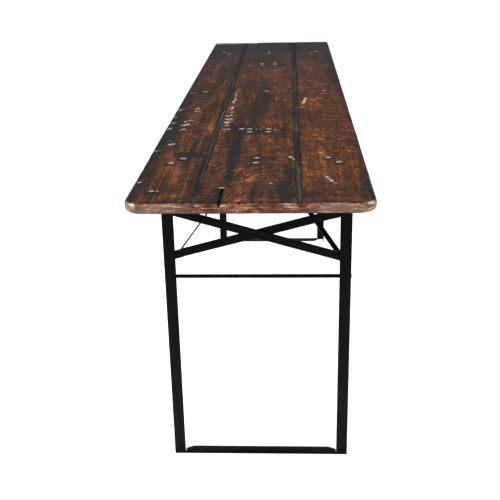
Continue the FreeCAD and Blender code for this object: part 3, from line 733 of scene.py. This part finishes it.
def makeBoard(name, node, boardSeams):
    low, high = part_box(node)
    spare = plankTop["jointSpare"]
    within = plankTop["seamsWithin"]
    joints = [(x, side) for x, side in ((low.x, -1), (high.x, 1)) if abs(x) < within]
    wide = {side: side * spare for x, side in joints}
    start = (low.x + wide.get(-1, 0), low.y, low.z)
    piece = startBlock(name, start, (high.x + wide.get(1, 0), high.y, high.z))

    def isCorner(end):
        def test(edge):
            vert = edge.verts[0].co
            return edgeRun(edge, 2) > (high.z - low.z) / 2 and vert.y * end > 0 and abs(vert.x) >= within
        return test

    def isJoint(edge):
        inside = all(abs(vert.co.x) < within for vert in edge.verts)
        return inside and edgeRun(edge, 1) > topLength / 2

    def isRim(height):
        return lambda edge: edgeAt(edge, 2, height) and not isJoint(edge)

    if len(boardSeams) == 1:
        bevelEdges(piece, isCorner(-1), plankTop["nearCorner"], 10)
        bevelEdges(piece, isCorner(1), plankTop["farCorner"], 8)
    bevelEdges(piece, isRim(high.z), plankTop["topRound"], 5)
    bevelEdges(piece, isRim(low.z), plankTop["bottomRound"], 4)
    applyModifier(piece, "REMESH", mode="VOXEL", voxel_size=plankTop["voxel"])
    places, normals = meshArrays(piece)
    rise = normals[:, 2]
    inward = stepUp(farEnd - np.abs(places[:, 1]), 0.0, plankTop["endMargin"])
    topGroup = weightGroup(piece, "top", stepUp(rise, 0.55, 0.95) * inward)
    rimGroup = weightGroup(piece, "rim", stepUp(1 - np.abs(rise), 0.02, 0.5))
    underGroup = weightGroup(piece, "under", stepUp(-rise, 0.6, 0.95))
    sawEmpty = mappingEmpty(plankTop["sawSize"], plankFinish[name]["sawAngle"])
    grainEmpty = mappingEmpty(plankTop["grainSize"])
    wear(piece, "hollow", plankTop["hollowDepth"], "Z", topGroup)
    wear(piece, "saw", plankTop["sawDepth"], "Z", topGroup, 1.0, sawEmpty)
    wear(piece, "grain", plankTop["grainDepth"], "Z", topGroup, 1.0, grainEmpty)
    wear(piece, "saw", -plankTop["underDepth"], "Z", underGroup, 1.0, sawEmpty)
    wear(piece, "rim", plankTop["rimWear"], "NORMAL", rimGroup)
    dropObject(sawEmpty)
    dropObject(grainEmpty)
    carve(piece, pocketCutter([spot for spot in boltSpots if low.x < spot[0] < high.x]))
    for marks, cutter in ((checks, checkCutter), (dents, dentCutter)):
        for mark in marks:
            if low.x < mark[0] < high.x:
                carve(piece, cutter(mark))
    for x, side in joints:
        left, right = sorted((x + side * plankTop["jointClose"], x + side * 2 * spare))
        carve(piece, startBlock("joint", (left, low.y - spare, low.z - spare),
                                (right, high.y + spare, high.z + spare)))
    for seam in boardSeams:
        carve(piece, seamCutter(seams[seam]))
    piece.vertex_groups.clear()
    smooth(piece, 50)
    return piece


# Painted wear, painted shade and painted highlights: places in metres across the top and along it from the
# near end
sootPatches = [  # x, along, reach across, reach along, strength
    (-0.228, 0.62, 0.03, 0.26, 1.0), (-0.232, 0.3, 0.022, 0.22, 0.9), (-0.236, 0.1, 0.016, 0.1, 0.8),
    (-0.225, 1.0, 0.022, 0.2, 0.7), (-0.23, 1.3, 0.016, 0.3, 0.55), (-0.232, 1.75, 0.022, 0.25, 0.8),
    (0.232, 0.12, 0.012, 0.12, 0.7), (0.236, 0.36, 0.01, 0.14, 0.5), (0.234, 0.8, 0.012, 0.3, 0.5),
    (0.228, 1.35, 0.024, 0.3, 0.8), (0.226, 1.8, 0.026, 0.25, 0.9),
    (-0.048, 0.38, 0.015, 0.2, 1.2), (-0.05, 0.6, 0.022, 0.1, 1.0), (-0.046, 0.2, 0.01, 0.1, 0.9),
    # the last patch on the line below darkens the hollow of the dent near the left front corner as painted
    # shade
    (-0.15, 0.352, 0.034, 0.022, 1.1), (-0.06, 0.05, 0.012, 0.07, 0.9), (-0.188, 0.067, 0.014, 0.013, 1.4),
    (0.066, 0.08, 0.02, 0.09, 0.95), (0.074, 0.22, 0.014, 0.1, 0.7), (0.108, 0.05, 0.014, 0.035, 0.7),
    (-0.02, 0.8, 0.024, 0.22, 0.8), (0.01, 0.95, 0.02, 0.18, 0.7), (-0.01, 0.58, 0.04, 0.05, 0.7),
    (-0.12, 0.02, 0.06, 0.022, 0.5), (0.15, 0.02, 0.03, 0.02, 0.3),
    (-0.15, 1.36, 0.024, 0.05, 0.8), (-0.14, 1.55, 0.05, 0.1, 0.5),
    (0.0, 2.05, 0.26, 0.2, 0.85), (-0.02, 1.72, 0.07, 0.12, 0.75), (-0.19, 1.9, 0.06, 0.2, 0.6),
    (0.16, 1.98, 0.06, 0.14, 0.6), (0.05, 1.6, 0.04, 0.1, 0.45),
    (0.003, 0.305, 0.016, 0.05, 0.65), (-0.023, 0.585, 0.014, 0.04, 0.6), (0.023, 0.585, 0.014, 0.04, 0.6),
]
emberPatches = [
    (-0.185, 0.3, 0.016, 0.25, 0.8), (-0.15, 0.45, 0.03, 0.1, 0.7), (-0.13, 0.6, 0.03, 0.12, 0.6),
    (-0.17, 0.2, 0.03, 0.08, 0.6), (-0.15, 0.05, 0.04, 0.02, 0.7), (-0.078, 0.3, 0.016, 0.18, 0.5),
    (-0.08, 0.16, 0.018, 0.06, 0.7), (0.0, 0.17, 0.04, 0.06, 0.9), (0.02, 0.4, 0.03, 0.08, 0.8),
    (-0.03, 0.13, 0.02, 0.05, 0.6), (-0.03, 0.025, 0.028, 0.012, 1.0), (0.025, 0.025, 0.016, 0.01, 0.9),
    (0.13, 0.3, 0.04, 0.12, 0.6), (0.125, 0.55, 0.04, 0.22, 0.45), (0.12, 0.14, 0.024, 0.06, 0.9),
    (0.16, 0.9, 0.04, 0.3, 0.55), (0.13, 1.25, 0.04, 0.3, 0.45), (0.18, 0.025, 0.03, 0.014, 1.0),
    (-0.085, 0.8, 0.02, 0.26, 0.6), (-0.18, 0.75, 0.04, 0.14, 0.4), (-0.16, 0.95, 0.04, 0.1, 0.5),
    (0.05, 1.02, 0.03, 0.18, 0.6), (-0.19, 1.34, 0.036, 0.1, 0.7), (0.04, 1.36, 0.05, 0.12, 0.7),
    (-0.05, 1.36, 0.03, 0.08, 0.6), (0.14, 1.58, 0.05, 0.12, 0.55), (-0.15, 1.66, 0.04, 0.1, 0.4),
]
# pale scrapes and flecks, several of them painted glints and highlights on the rims and marks
scrapeAndGlintStrokes = [  # from x, along to x, along, width, strength
    (-0.089, 0.6, -0.081, 0.606, 0.0086, 0.85), (-0.088, 0.64, -0.081, 0.645, 0.0078, 0.85),
    (-0.089, 0.675, -0.079, 0.682, 0.0094, 0.94), (-0.087, 0.715, -0.08, 0.721, 0.0086, 0.85),
    (-0.089, 0.755, -0.082, 0.76, 0.0086, 0.85), (-0.086, 0.8, -0.082, 0.806, 0.0078, 0.77),
    (-0.085, 0.845, -0.081, 0.87, 0.004, 0.9), (-0.084, 0.93, -0.082, 0.99, 0.0045, 1.0),
    (-0.084, 1.02, -0.083, 1.065, 0.0028, 0.9), (-0.085, 1.085, -0.079, 1.125, 0.0045, 0.9),
    (0.122, 0.99, 0.115, 0.91, 0.0045, 1.1), (0.075, 0.335, 0.092, 0.293, 0.0028, 1.1),
    (0.147, 0.18, 0.166, 0.124, 0.0026, 1.0), (0.046, 0.372, 0.05, 0.36, 0.003, 0.8),
    (-0.185, 0.85, -0.175, 0.858, 0.0086, 0.85), (-0.184, 0.815, -0.176, 0.822, 0.0078, 0.77),
    (-0.186, 0.781, -0.182, 0.784, 0.0047, 0.77), (-0.179, 0.738, -0.177, 0.741, 0.0062, 0.68),
    (-0.195, 0.69, -0.183, 0.703, 0.0086, 0.85), (-0.196, 0.646, -0.184, 0.659, 0.0086, 0.85),
    (-0.196, 0.592, -0.191, 0.603, 0.0078, 0.77), (-0.229, 0.61, -0.221, 0.622, 0.0078, 0.77),
    (-0.231, 0.67, -0.223, 0.68, 0.0078, 0.77), (-0.232, 0.745, -0.226, 0.753, 0.007, 0.77),
    (-0.232, 0.83, -0.224, 0.845, 0.0078, 0.85), (-0.234, 0.93, -0.23, 0.94, 0.007, 0.68),
    (-0.224, 1.075, -0.218, 1.088, 0.007, 0.68), (-0.205, 0.447, -0.191, 0.456, 0.005, 0.9),
    (-0.229, 0.389, -0.221, 0.395, 0.0045, 1.0), (-0.228, 0.139, -0.224, 0.142, 0.004, 1.0),
    (-0.045, 0.602, -0.037, 0.607, 0.007, 0.85), (-0.006, 0.596, 0.006, 0.594, 0.004, 0.9),
    (0.032, 0.592, 0.04, 0.59, 0.0035, 0.8), (0.037, 0.13, 0.04, 0.127, 0.003, 0.9),
    # painted light on this line and the next: a highlight on the far rim of the dent, a glint at the far
    # end of the split, a highlight along the left rim near the front, and a reflection along the far edge
    (-0.195, 0.082, -0.181, 0.082, 0.0034, 1.1), (-0.059, 0.101, -0.053, 0.101, 0.0045, 1.2),
    (-0.2365, 0.05, -0.2365, 0.33, 0.0028, 0.95), (-0.232, 2.176, -0.062, 2.178, 0.01, 1.3),
]
topWear = {  # strengths from 0 to 1, reaches in metres, pairs from and to
    "stroke": 0.66, "strokeBlur": 1.9, "sideSoot": 0.60, "leftReach": 0.016, "rightReach": 0.008,
    "endSoot": 0.32, "endReach": 0.016, "seamSoot": 0.52, "seamReach": 0.010,
    "boltSoot": 1.1, "boltSootRing": (0.0105, 0.0165), "boltSootShift": 0.005,
    "boltShade": 1.4, "boltShadeRing": (0.0080, 0.0112), "boltShadeShift": 0.0085,
    "cornerSide": (0.050, 0.040), "cornerEnd": (0.034, 0.014), "cornerHighlight": 0.62,
    "arrisDarkening": 0.58, "arrisGap": 0.0045, "arrisReach": 0.0038, "underShade": 0.8,
    "sidePolish": 0.6, "farPolish": 0.9, "farRim": (2.185, 2.195), "fade": 0.40, "farSheenFrom": 0.8,
    "bandSheen": (0.10, 0.17), "bandRusty": (0.195, 0.222), "rusty": 0.8,
}


def nearStroke(x, along, stroke):
    x0, a0, x1, a1, width, strength = stroke
    runX = x1 - x0
    runA = a1 - a0
    part = np.clip(((x - x0) * runX + (along - a0) * runA) / (runX * runX + runA * runA), 0, 1)
    gap = np.hypot(x - x0 - part * runX, along - a0 - part * runA)
    return topWear["stroke"] * strength * (1 - stepUp(gap, 0.0, width * topWear["strokeBlur"]))


def softPatches(level, x, along, patches):
    for middleX, middleAlong, reachX, reachAlong, strength in patches:
        away = ((x - middleX) / reachX) ** 2 + ((along - middleAlong) / reachAlong) ** 2
        level = np.maximum(level, strength * np.exp(-away))
    return level


# a dark ring round each bolt head, set toward its near side as painted shade
def boltRings(level, places, kind):
    for spotX, spotY in boltSpots:
        reach = np.hypot(places[:, 0] - spotX, places[:, 1] - spotY + topWear[kind + "Shift"])
        level = np.maximum(level, topWear[kind] * (1 - stepUp(reach, *topWear[kind + "Ring"])))
    return level


def paintBoard(piece, boardSeams):
    places, normals = meshArrays(piece)
    x = places[:, 0]
    along = places[:, 1] - nearEnd
    sideways = np.abs(normals[:, 0])
    rise = normals[:, 2]
    gapSide = cadBox[1].x - np.abs(x)
    gapEnd = np.minimum(along, topLength - along)
    # soot along the rims and seams and in patches, and round the bolts, set toward each head's near side
    # as painted shade
    sideReach = np.where(x < 0, topWear["leftReach"], topWear["rightReach"])
    soot = topWear["sideSoot"] * np.exp(-(gapSide / sideReach) ** 2)
    soot = np.maximum(soot, topWear["endSoot"] * np.exp(-(gapEnd / topWear["endReach"]) ** 2))
    for seam in boardSeams:
        low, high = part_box(seams[seam]["node"])
        gap = (x - (low.x + high.x) / 2) / topWear["seamReach"]
        soot = np.maximum(soot, topWear["seamSoot"] * np.exp(-gap ** 2))
    soot = boltRings(softPatches(soot, x, along, sootPatches), places, "boltSoot")
    ember = softPatches(np.zeros(len(x)), x, along, emberPatches)
    scrape = np.zeros(len(x))
    for stroke in scrapeAndGlintStrokes:
        scrape = np.maximum(scrape, nearStroke(x, along, stroke))
    scrape *= stepUp(rise, 0.3, 0.7)
    # end faces and outer corners, worn to the end grain
    outer = stepUp(gapSide, *topWear["cornerSide"]) * stepUp(gapEnd, *topWear["cornerEnd"])
    endWear = stepUp(np.abs(normals[:, 1]), 0.42, 0.85) * (1 - stepUp(gapEnd, 0.012, 0.02))
    endWear = np.maximum(endWear, outer * stepUp(sideways, 0.3, 0.7))
    # painted highlight: a pale patch on the upper round of each near corner, laid into the scrape layer
    upperRound = stepUp(rise, 0.05, 0.25) * (1 - stepUp(rise, 0.75, 0.95))
    rubbedAndLit = outer * upperRound * stepUp(sideways, 0.15, 0.45) * (1 - stepUp(along, 0.03, 0.06))
    scrape = np.maximum(scrape, topWear["cornerHighlight"] * rubbedAndLit)
    # darkening along the arris, and painted shade under the edge and in front of each bolt head
    arris = np.exp(-((gapEnd - topWear["arrisGap"]) / topWear["arrisReach"]) ** 2)
    grime = topWear["arrisDarkening"] * arris * stepUp(rise, 0.25, 0.6)
    grime = np.maximum(grime, topWear["underShade"] * stepUp(-rise, 0.15, 0.6))
    grime = boltRings(grime, places, "boltShade")
    # polish on the rounded corners, the near sides and the far rim
    nearSide = (1 - stepUp(along, 0.1, 0.4)) * stepUp(gapSide, 0.012, 0.006)
    farRim = stepUp(along, *topWear["farRim"]) * stepUp(-x, 0.02, 0.08)
    polish = np.maximum(outer * stepUp(sideways, 0.10, 0.35), topWear["sidePolish"] * nearSide)
    polish = np.maximum(polish, topWear["farPolish"] * farRim)
    polish *= stepUp(1 - np.abs(rise), 0.03, 0.3)
    # painted sheen: a bluish grey tint rising toward the far end, standing for the reflection seen there
    # at a grazing angle
    fade = topWear["fade"] * stepUp(along, topWear["farSheenFrom"], topLength)
    # painted sheen: the front band paler toward its sides and less so at the corners, standing for its
    # specular highlights
    bandSheen = stepUp(np.abs(x), *topWear["bandSheen"])
    bandSheen *= 1 - topWear["rusty"] * stepUp(np.abs(x), *topWear["bandRusty"])
    painted = (soot, ember, scrape, endWear, grime, polish, fade, bandSheen)
    for name, values in zip(paintLayers, painted):
        paintLayer(piece, name, values)


boards = {
    "leftPlank": {"node": "left_board", "seams": ("leftSeam",)},
    "middlePlank": {"node": "middle_board", "seams": ("leftSeam", "rightSeam")},
    "rightPlank": {"node": "right_board", "seams": ("rightSeam",)},
}
for name, board in boards.items():
    piece = makeBoard(name, board["node"], board["seams"])
    paintBoard(piece, board["seams"])
    finishPiece(piece, planks[name], "top", "plank", board["node"])
    print("board", name, len(piece.data.vertices), "vertices")


# Seam fillers lie in the channels between the boards, a little below the top and uneven

filler = {"voxel": 0.0024, "slump": 0.0018, "slumpSize": (0.012, 0.05, 0.1), "lap": 0.0015,
          "recess": 0.001, "farDark": 0.5, "farReach": (0.1, 0.8)}


def makeFiller(name, seam):
    low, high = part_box(seam["node"])
    lap = Vector((filler["lap"], 0, 0))
    piece = startBlock(name, low - lap, high + lap)

    def isEnd(edge):
        return edgeAt(edge, 2, high.z) and edgeRun(edge, 1) < topLength / 2

    bevelEdges(piece, isEnd, min(plankTop["topRound"], high.z - low.z) - filler["recess"], 5)
    applyModifier(piece, "REMESH", mode="VOXEL", voxel_size=filler["voxel"])
    places, normals = meshArrays(piece)
    lip = np.abs(2 * (places[:, 0] - low.x) / (high.x - low.x) - 1)
    lip += filler["farDark"] * stepUp(places[:, 1], *filler["farReach"])
    paintLayer(piece, "lip", lip)
    waveSides(piece, seam)
    places, normals = meshArrays(piece)
    topGroup = weightGroup(piece, "top", stepUp(normals[:, 2], 0.4, 0.9))
    slumpEmpty = mappingEmpty(filler["slumpSize"])
    wear(piece, "grain", filler["slump"], "Z", topGroup, 1.0, slumpEmpty)
    dropObject(slumpEmpty)
    piece.vertex_groups.clear()
    smooth(piece, 60)
    finishPiece(piece, seamFiller, "top", "seam_filler", seam["node"])
    print("filler", name, len(piece.data.vertices), "vertices")


for name, seam in seams.items():
    makeFiller(name.replace("Seam", "Filler"), seam)


# Battens: rough bars under the boards with chamfered ends

battens = {"nodes": ("near_batten", "centre_batten", "far_batten"), "voxel": 0.003,
           "chamfer": 0.012, "rough": 0.0008, "grainSize": (0.16, 0.009, 0.009)}


def makeBatten(node):
    low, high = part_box(node)
    piece = startBlock(camel(node), low, high)

    def isEnd(edge):
        atEnd = all(abs(abs(vert.co.x) - high.x) < sameSpot for vert in edge.verts)
        return atEnd and edgeAt(edge, 2, low.z)

    bevelEdges(piece, isEnd, battens["chamfer"], 1)
    applyModifier(piece, "REMESH", mode="VOXEL", voxel_size=battens["voxel"])
    places, normals = meshArrays(piece)
    skin = weightGroup(piece, "skin", stepUp(0.9 - normals[:, 2], 0.0, 0.5))
    grainEmpty = mappingEmpty(battens["grainSize"])
    wear(piece, "grain", battens["rough"], "NORMAL", skin, 1.0, grainEmpty)
    wear(piece, "rim", battens["rough"], "NORMAL", skin)
    dropObject(grainEmpty)
    piece.vertex_groups.clear()
    smooth(piece, 45)
    finishPiece(piece, battenWood, "top", "batten", node)


for node in battens["nodes"]:
    makeBatten(node)
print("battens made")


# Carriage bolts: domed heads, threaded tails

carriageBolt = {
    "tip": 0.0019, "start": 0.0027, "lead": 0.0005, "shank": 0.003, "root": 0.0026, "pitch": 0.001,
    "threads": 5, "runOut": 0.0006, "head": 0.0085, "headHeight": 0.0032, "chamfer": 0.0003,
    "neck": 0.0001, "rim": 0.0005, "dome": (0.0, 0.25, 0.45, 0.62, 0.77, 0.9, 0.97), "fullness": 0.9,
    "sides": 20, "turn": 0.7,
}


def boltOutline(low, high):
    shank = carriageBolt["shank"]
    head = carriageBolt["head"]
    pitch = carriageBolt["pitch"]
    seat = high - carriageBolt["headHeight"]
    rim = seat + carriageBolt["rim"]
    height = low + carriageBolt["lead"]
    steps = [(carriageBolt["tip"], low), (carriageBolt["start"], height)]
    for turn in range(carriageBolt["threads"]):
        steps += [(shank, height + pitch / 2), (carriageBolt["root"], height + pitch)]
        height += pitch
    steps += [(shank, height + carriageBolt["runOut"]), (shank, seat - carriageBolt["neck"])]
    steps += [(head - carriageBolt["chamfer"], seat), (head, seat + carriageBolt["chamfer"])]
    for part in carriageBolt["dome"]:
        angle = part * math.pi / 2
        radius = head * math.cos(angle) ** carriageBolt["fullness"]
        steps.append((radius, rim + (high - rim) * math.sin(angle)))
    return steps


for node, spots in boltRows.items():
    low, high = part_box(node)
    pattern = turned("bolt", boltOutline(low.z, high.z), carriageBolt["sides"])
    places = []
    for count, (x, y) in enumerate(spots):
        turn = Matrix.Rotation(carriageBolt["turn"] * count, 4, "Z")
        places.append(Matrix.Translation((x, y, 0)) @ turn)
    piece = copyTo(camel(node), pattern, places)
    dropObject(pattern)
    smooth(piece, 35)
    finishPiece(piece, metals["boltSteel"], "top", "bolt_steel", node)
print("carriage bolts made")


# Ironwork: copies of the frame's own solids with their sharp edges broken

ironwork = {  # width of the broken edges
    "hinge_rail": 0.0006, "left_leg": 0.0006, "right_leg": 0.0006, "front_brace": 0.0006,
    "rear_brace": 0.0006, "cross_rod": 0.0003, "foot_bar": 0.0006, "stay_strap": 0.0004,
    "stay_crossbar": 0.0005, "latch_hook": 0.0005, "pivot_bolts": 0.0005, "pivot_nuts": 0.0005,
    "pivot_washers": 0.0002, "rail_nuts": 0.0004, "latch_nuts": 0.0004, "brace_rivet": 0.0,
    "foot_rivets": 0.0, "stay_rod": 0.0, "latch_spring": 0.0001, "spring_rivet": 0.0,
}
smallSteel = {"batten_washers": 0.0003, "batten_nuts": 0.0003}
frameParts = ("left_leg", "right_leg", "front_brace", "rear_brace", "brace_rivet", "cross_rod",
              "foot_bar", "foot_rivets")
stayParts = ("stay_strap", "stay_rod", "stay_crossbar")
metalParts = {"rail_nuts": "bolt", "latch_nuts": "bolt", "latch_spring": "spring"}


def softCopy(node, width):
    name = camel(node)
    piece = named(newObject(name, nodes[node].data.copy()), name)
    startEdit(piece)
    bpy.ops.mesh.select_all(action="SELECT")
    bpy.ops.mesh.remove_doubles(threshold=2e-6)
    bpy.ops.mesh.dissolve_limited(angle_limit=math.radians(0.4))
    stopEdit()
    if width:
        applyModifier(piece, "BEVEL", width=width, segments=2, limit_method="ANGLE",
                      angle_limit=math.radians(40), use_clamp_overlap=True)
    smooth(piece, 32)
    return piece


for end in ("near", "far"):
    for part, width in ironwork.items():
        node = end + "_" + part
        piece = softCopy(node, width)
        body = "top"
        if part in frameParts:
            body = end + "_leg_frame"
        elif part in stayParts:
            body = end + "_stay"
        if part in metalParts:
            metal = metalParts[part]
            finishPiece(piece, metals[metal + "Steel"], body, metal + "_steel", node)
        else:
            finishPiece(piece, blackPaint, body, "black_paint", node)
for node, width in smallSteel.items():
    finishPiece(softCopy(node, width), metals["boltSteel"], "top", "bolt_steel", node)
print("ironwork made")


# Weld beads behind the leg flanges, along both edges of each brace end

braceLow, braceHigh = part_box("near_front_brace")
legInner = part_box("near_right_leg")[0].x
weld = {"radius": 0.0019, "length": 0.017, "ripple": 0.0019, "half": 0.010, "seat": 0.0006,
        "along": (legInner + braceHigh.x) / 2, "backY": braceLow.y,
        "height": (braceLow.z + braceHigh.z) / 2, "sides": 10}


def weldBead():
    count = int(weld["length"] / weld["ripple"])
    steps = [(weld["radius"] * 0.4, 0.0)]
    for ripple in range(count):
        swell = weld["radius"] * (0.8 if ripple in (0, count - 1) else 1.0)
        steps.append((swell, (ripple + 0.5) * weld["ripple"]))
        steps.append((swell * 0.84, (ripple + 0.95) * weld["ripple"]))
    steps.append((weld["radius"] * 0.4, count * weld["ripple"] + 0.0003))
    bead = turned("bead", steps, weld["sides"])
    bead.data.transform(Matrix.Translation((0, 0, -weld["length"] / 2)))
    return bead


def braceTurn(node):  # a bar's slope, from its box and its width
    low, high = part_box(node)
    rise = (high.z - low.z) / 2
    reach = (high.x - low.x) / 2
    half = weld["half"]
    turn = math.atan2(rise - half, reach)
    for step in range(5):
        turn = math.atan2(rise - half * math.cos(turn), reach - half * math.sin(turn))
    return turn


def beadPlaces():
    places = []
    for tilt in (-braceTurn("near_front_brace"), braceTurn("near_rear_brace")):
        run = Vector((math.cos(tilt), 0, math.sin(tilt)))
        across = Vector((-math.sin(tilt), 0, math.cos(tilt)))
        turn = run.to_track_quat("Z", "Y").to_matrix().to_4x4()
        for side in (-1, 1):
            for edge in (-1, 1):
                middle = Vector((0, weld["backY"] + weld["seat"], weld["height"]))
                middle += run * (side * weld["along"] / math.cos(tilt))
                middle += across * (edge * (weld["half"] + weld["seat"]))
                places.append(Matrix.Translation(middle) @ turn)
    return places


bead = weldBead()
for end, turn in (("near", Matrix.Identity(4)), ("far", Matrix.Rotation(math.pi, 4, "Z"))):
    piece = copyTo(end + "WeldBeads", bead, [turn @ place for place in beadPlaces()])
    smooth(piece, 40)
    finishPiece(piece, blackPaint, end + "_leg_frame", "black_paint")
dropObject(bead)
print("weld beads made")


# Floor, light and camera

stage = {"floorSize": 60.0, "floorCuts": 8, "floorHeight": -0.0005, "floorColour": (0.8, 0.8, 0.8, 1),
         "floorGlow": 0.75, "skyAxis": (0.0, -0.6, 0.8), "dimBelow": 0.1, "fullAbove": 0.95,
         "dim": 0.05, "full": 0.55}
lamps = {  # place, aim, size, power
    "overhead": ((-0.3, -1.4, 3.8), (0.0, 0.0, 0.7), 3.2, 170.0),
    "leftSoft": ((-3.2, -1.4, 2.2), (0.0, -0.4, 0.6), 2.2, 70.0),
    "rightSoft": ((3.2, -1.0, 2.0), (0.0, -0.4, 0.6), 2.0, 45.0),
}
view = {"place": (0.0748, -2.5882, 1.2544), "yaw": -0.0501, "pitch": 0.3696, "roll": 0.0213,
        "focal": 851.36, "picture": 500.0, "sensor": 36.0, "farthest": 200.0}


def whiteRay(tree):  # 1 for the rays that should see a white surround
    path = tree.nodes.new("ShaderNodeLightPath").outputs
    mirrored = calc(tree, "MAXIMUM", path["Is Glossy Ray"], path["Is Transmission Ray"])
    return calc(tree, "MAXIMUM", path["Is Camera Ray"], mirrored)


def makeFloor():
    clearSelection()
    bpy.ops.mesh.primitive_grid_add(x_subdivisions=stage["floorCuts"], y_subdivisions=stage["floorCuts"],
                                    size=stage["floorSize"], location=(0, 0, stage["floorHeight"]))
    floor = named(bpy.context.object, "floor")
    material = bpy.data.materials.new("floorPaper")
    material.use_nodes = True
    tree = material.node_tree
    tree.nodes.remove(tree.nodes["Principled BSDF"])
    paper = put(tree, "BsdfDiffuse", {}, {"Color": stage["floorColour"]}).outputs[0]
    level = calc(tree, "MULTIPLY", whiteRay(tree), stage["floorGlow"])
    glow = put(tree, "Emission", {}, {"Color": (1, 1, 1, 1), "Strength": level}).outputs[0]
    both = put(tree, "AddShader", {}, {0: paper, 1: glow}).outputs[0]
    wire(tree, tree.nodes["Material Output"], {"Surface": both})
    floor.data.materials.append(material)


def makeWorld():
    world = bpy.data.worlds.new("studio")
    scene.world = world
    world.use_nodes = True
    tree = world.node_tree
    direction = tree.nodes.new("ShaderNodeTexCoord").outputs["Generated"]
    climb = vectorCalc(tree, "DOT_PRODUCT", direction, stage["skyAxis"])["Value"]
    sky = spread(tree, climb, stage["dimBelow"], stage["fullAbove"], stage["dim"], stage["full"])
    strength = calc(tree, "MAXIMUM", sky, whiteRay(tree))
    wire(tree, tree.nodes["Background"], {"Color": (1, 1, 1, 1), "Strength": strength})


def makeLamps():
    for name, (place, aim, size, power) in lamps.items():
        data = bpy.data.lights.new(name, "AREA")
        data.shape = "DISK"
        data.size = size
        data.energy = power
        lamp = newObject(name, data)
        lamp.location = place
        lamp.rotation_euler = (Vector(aim) - Vector(place)).to_track_quat("-Z", "Y").to_euler()


def makeCamera():
    data = bpy.data.cameras.new("viewpoint")
    data.sensor_width = view["sensor"]
    data.lens = view["focal"] / view["picture"] * view["sensor"]
    data.clip_end = view["farthest"]
    camera = newObject("viewpoint", data)
    yaw = view["yaw"]
    pitch = view["pitch"]
    roll = view["roll"]
    level = Vector((math.cos(yaw), -math.sin(yaw), 0))
    ahead = Vector((math.sin(yaw), math.cos(yaw), 0)) * math.cos(pitch)
    ahead.z = -math.sin(pitch)
    down = ahead.cross(level)
    right = level * math.cos(roll) + down * math.sin(roll)
    down = down * math.cos(roll) - level * math.sin(roll)
    turn = Matrix((right, -down, -ahead)).transposed().to_4x4()
    camera.matrix_world = Matrix.Translation(view["place"]) @ turn
    scene.camera = camera


makeFloor()
makeWorld()
makeLamps()
makeCamera()
print("floor, light and camera ready")

clearSelection()
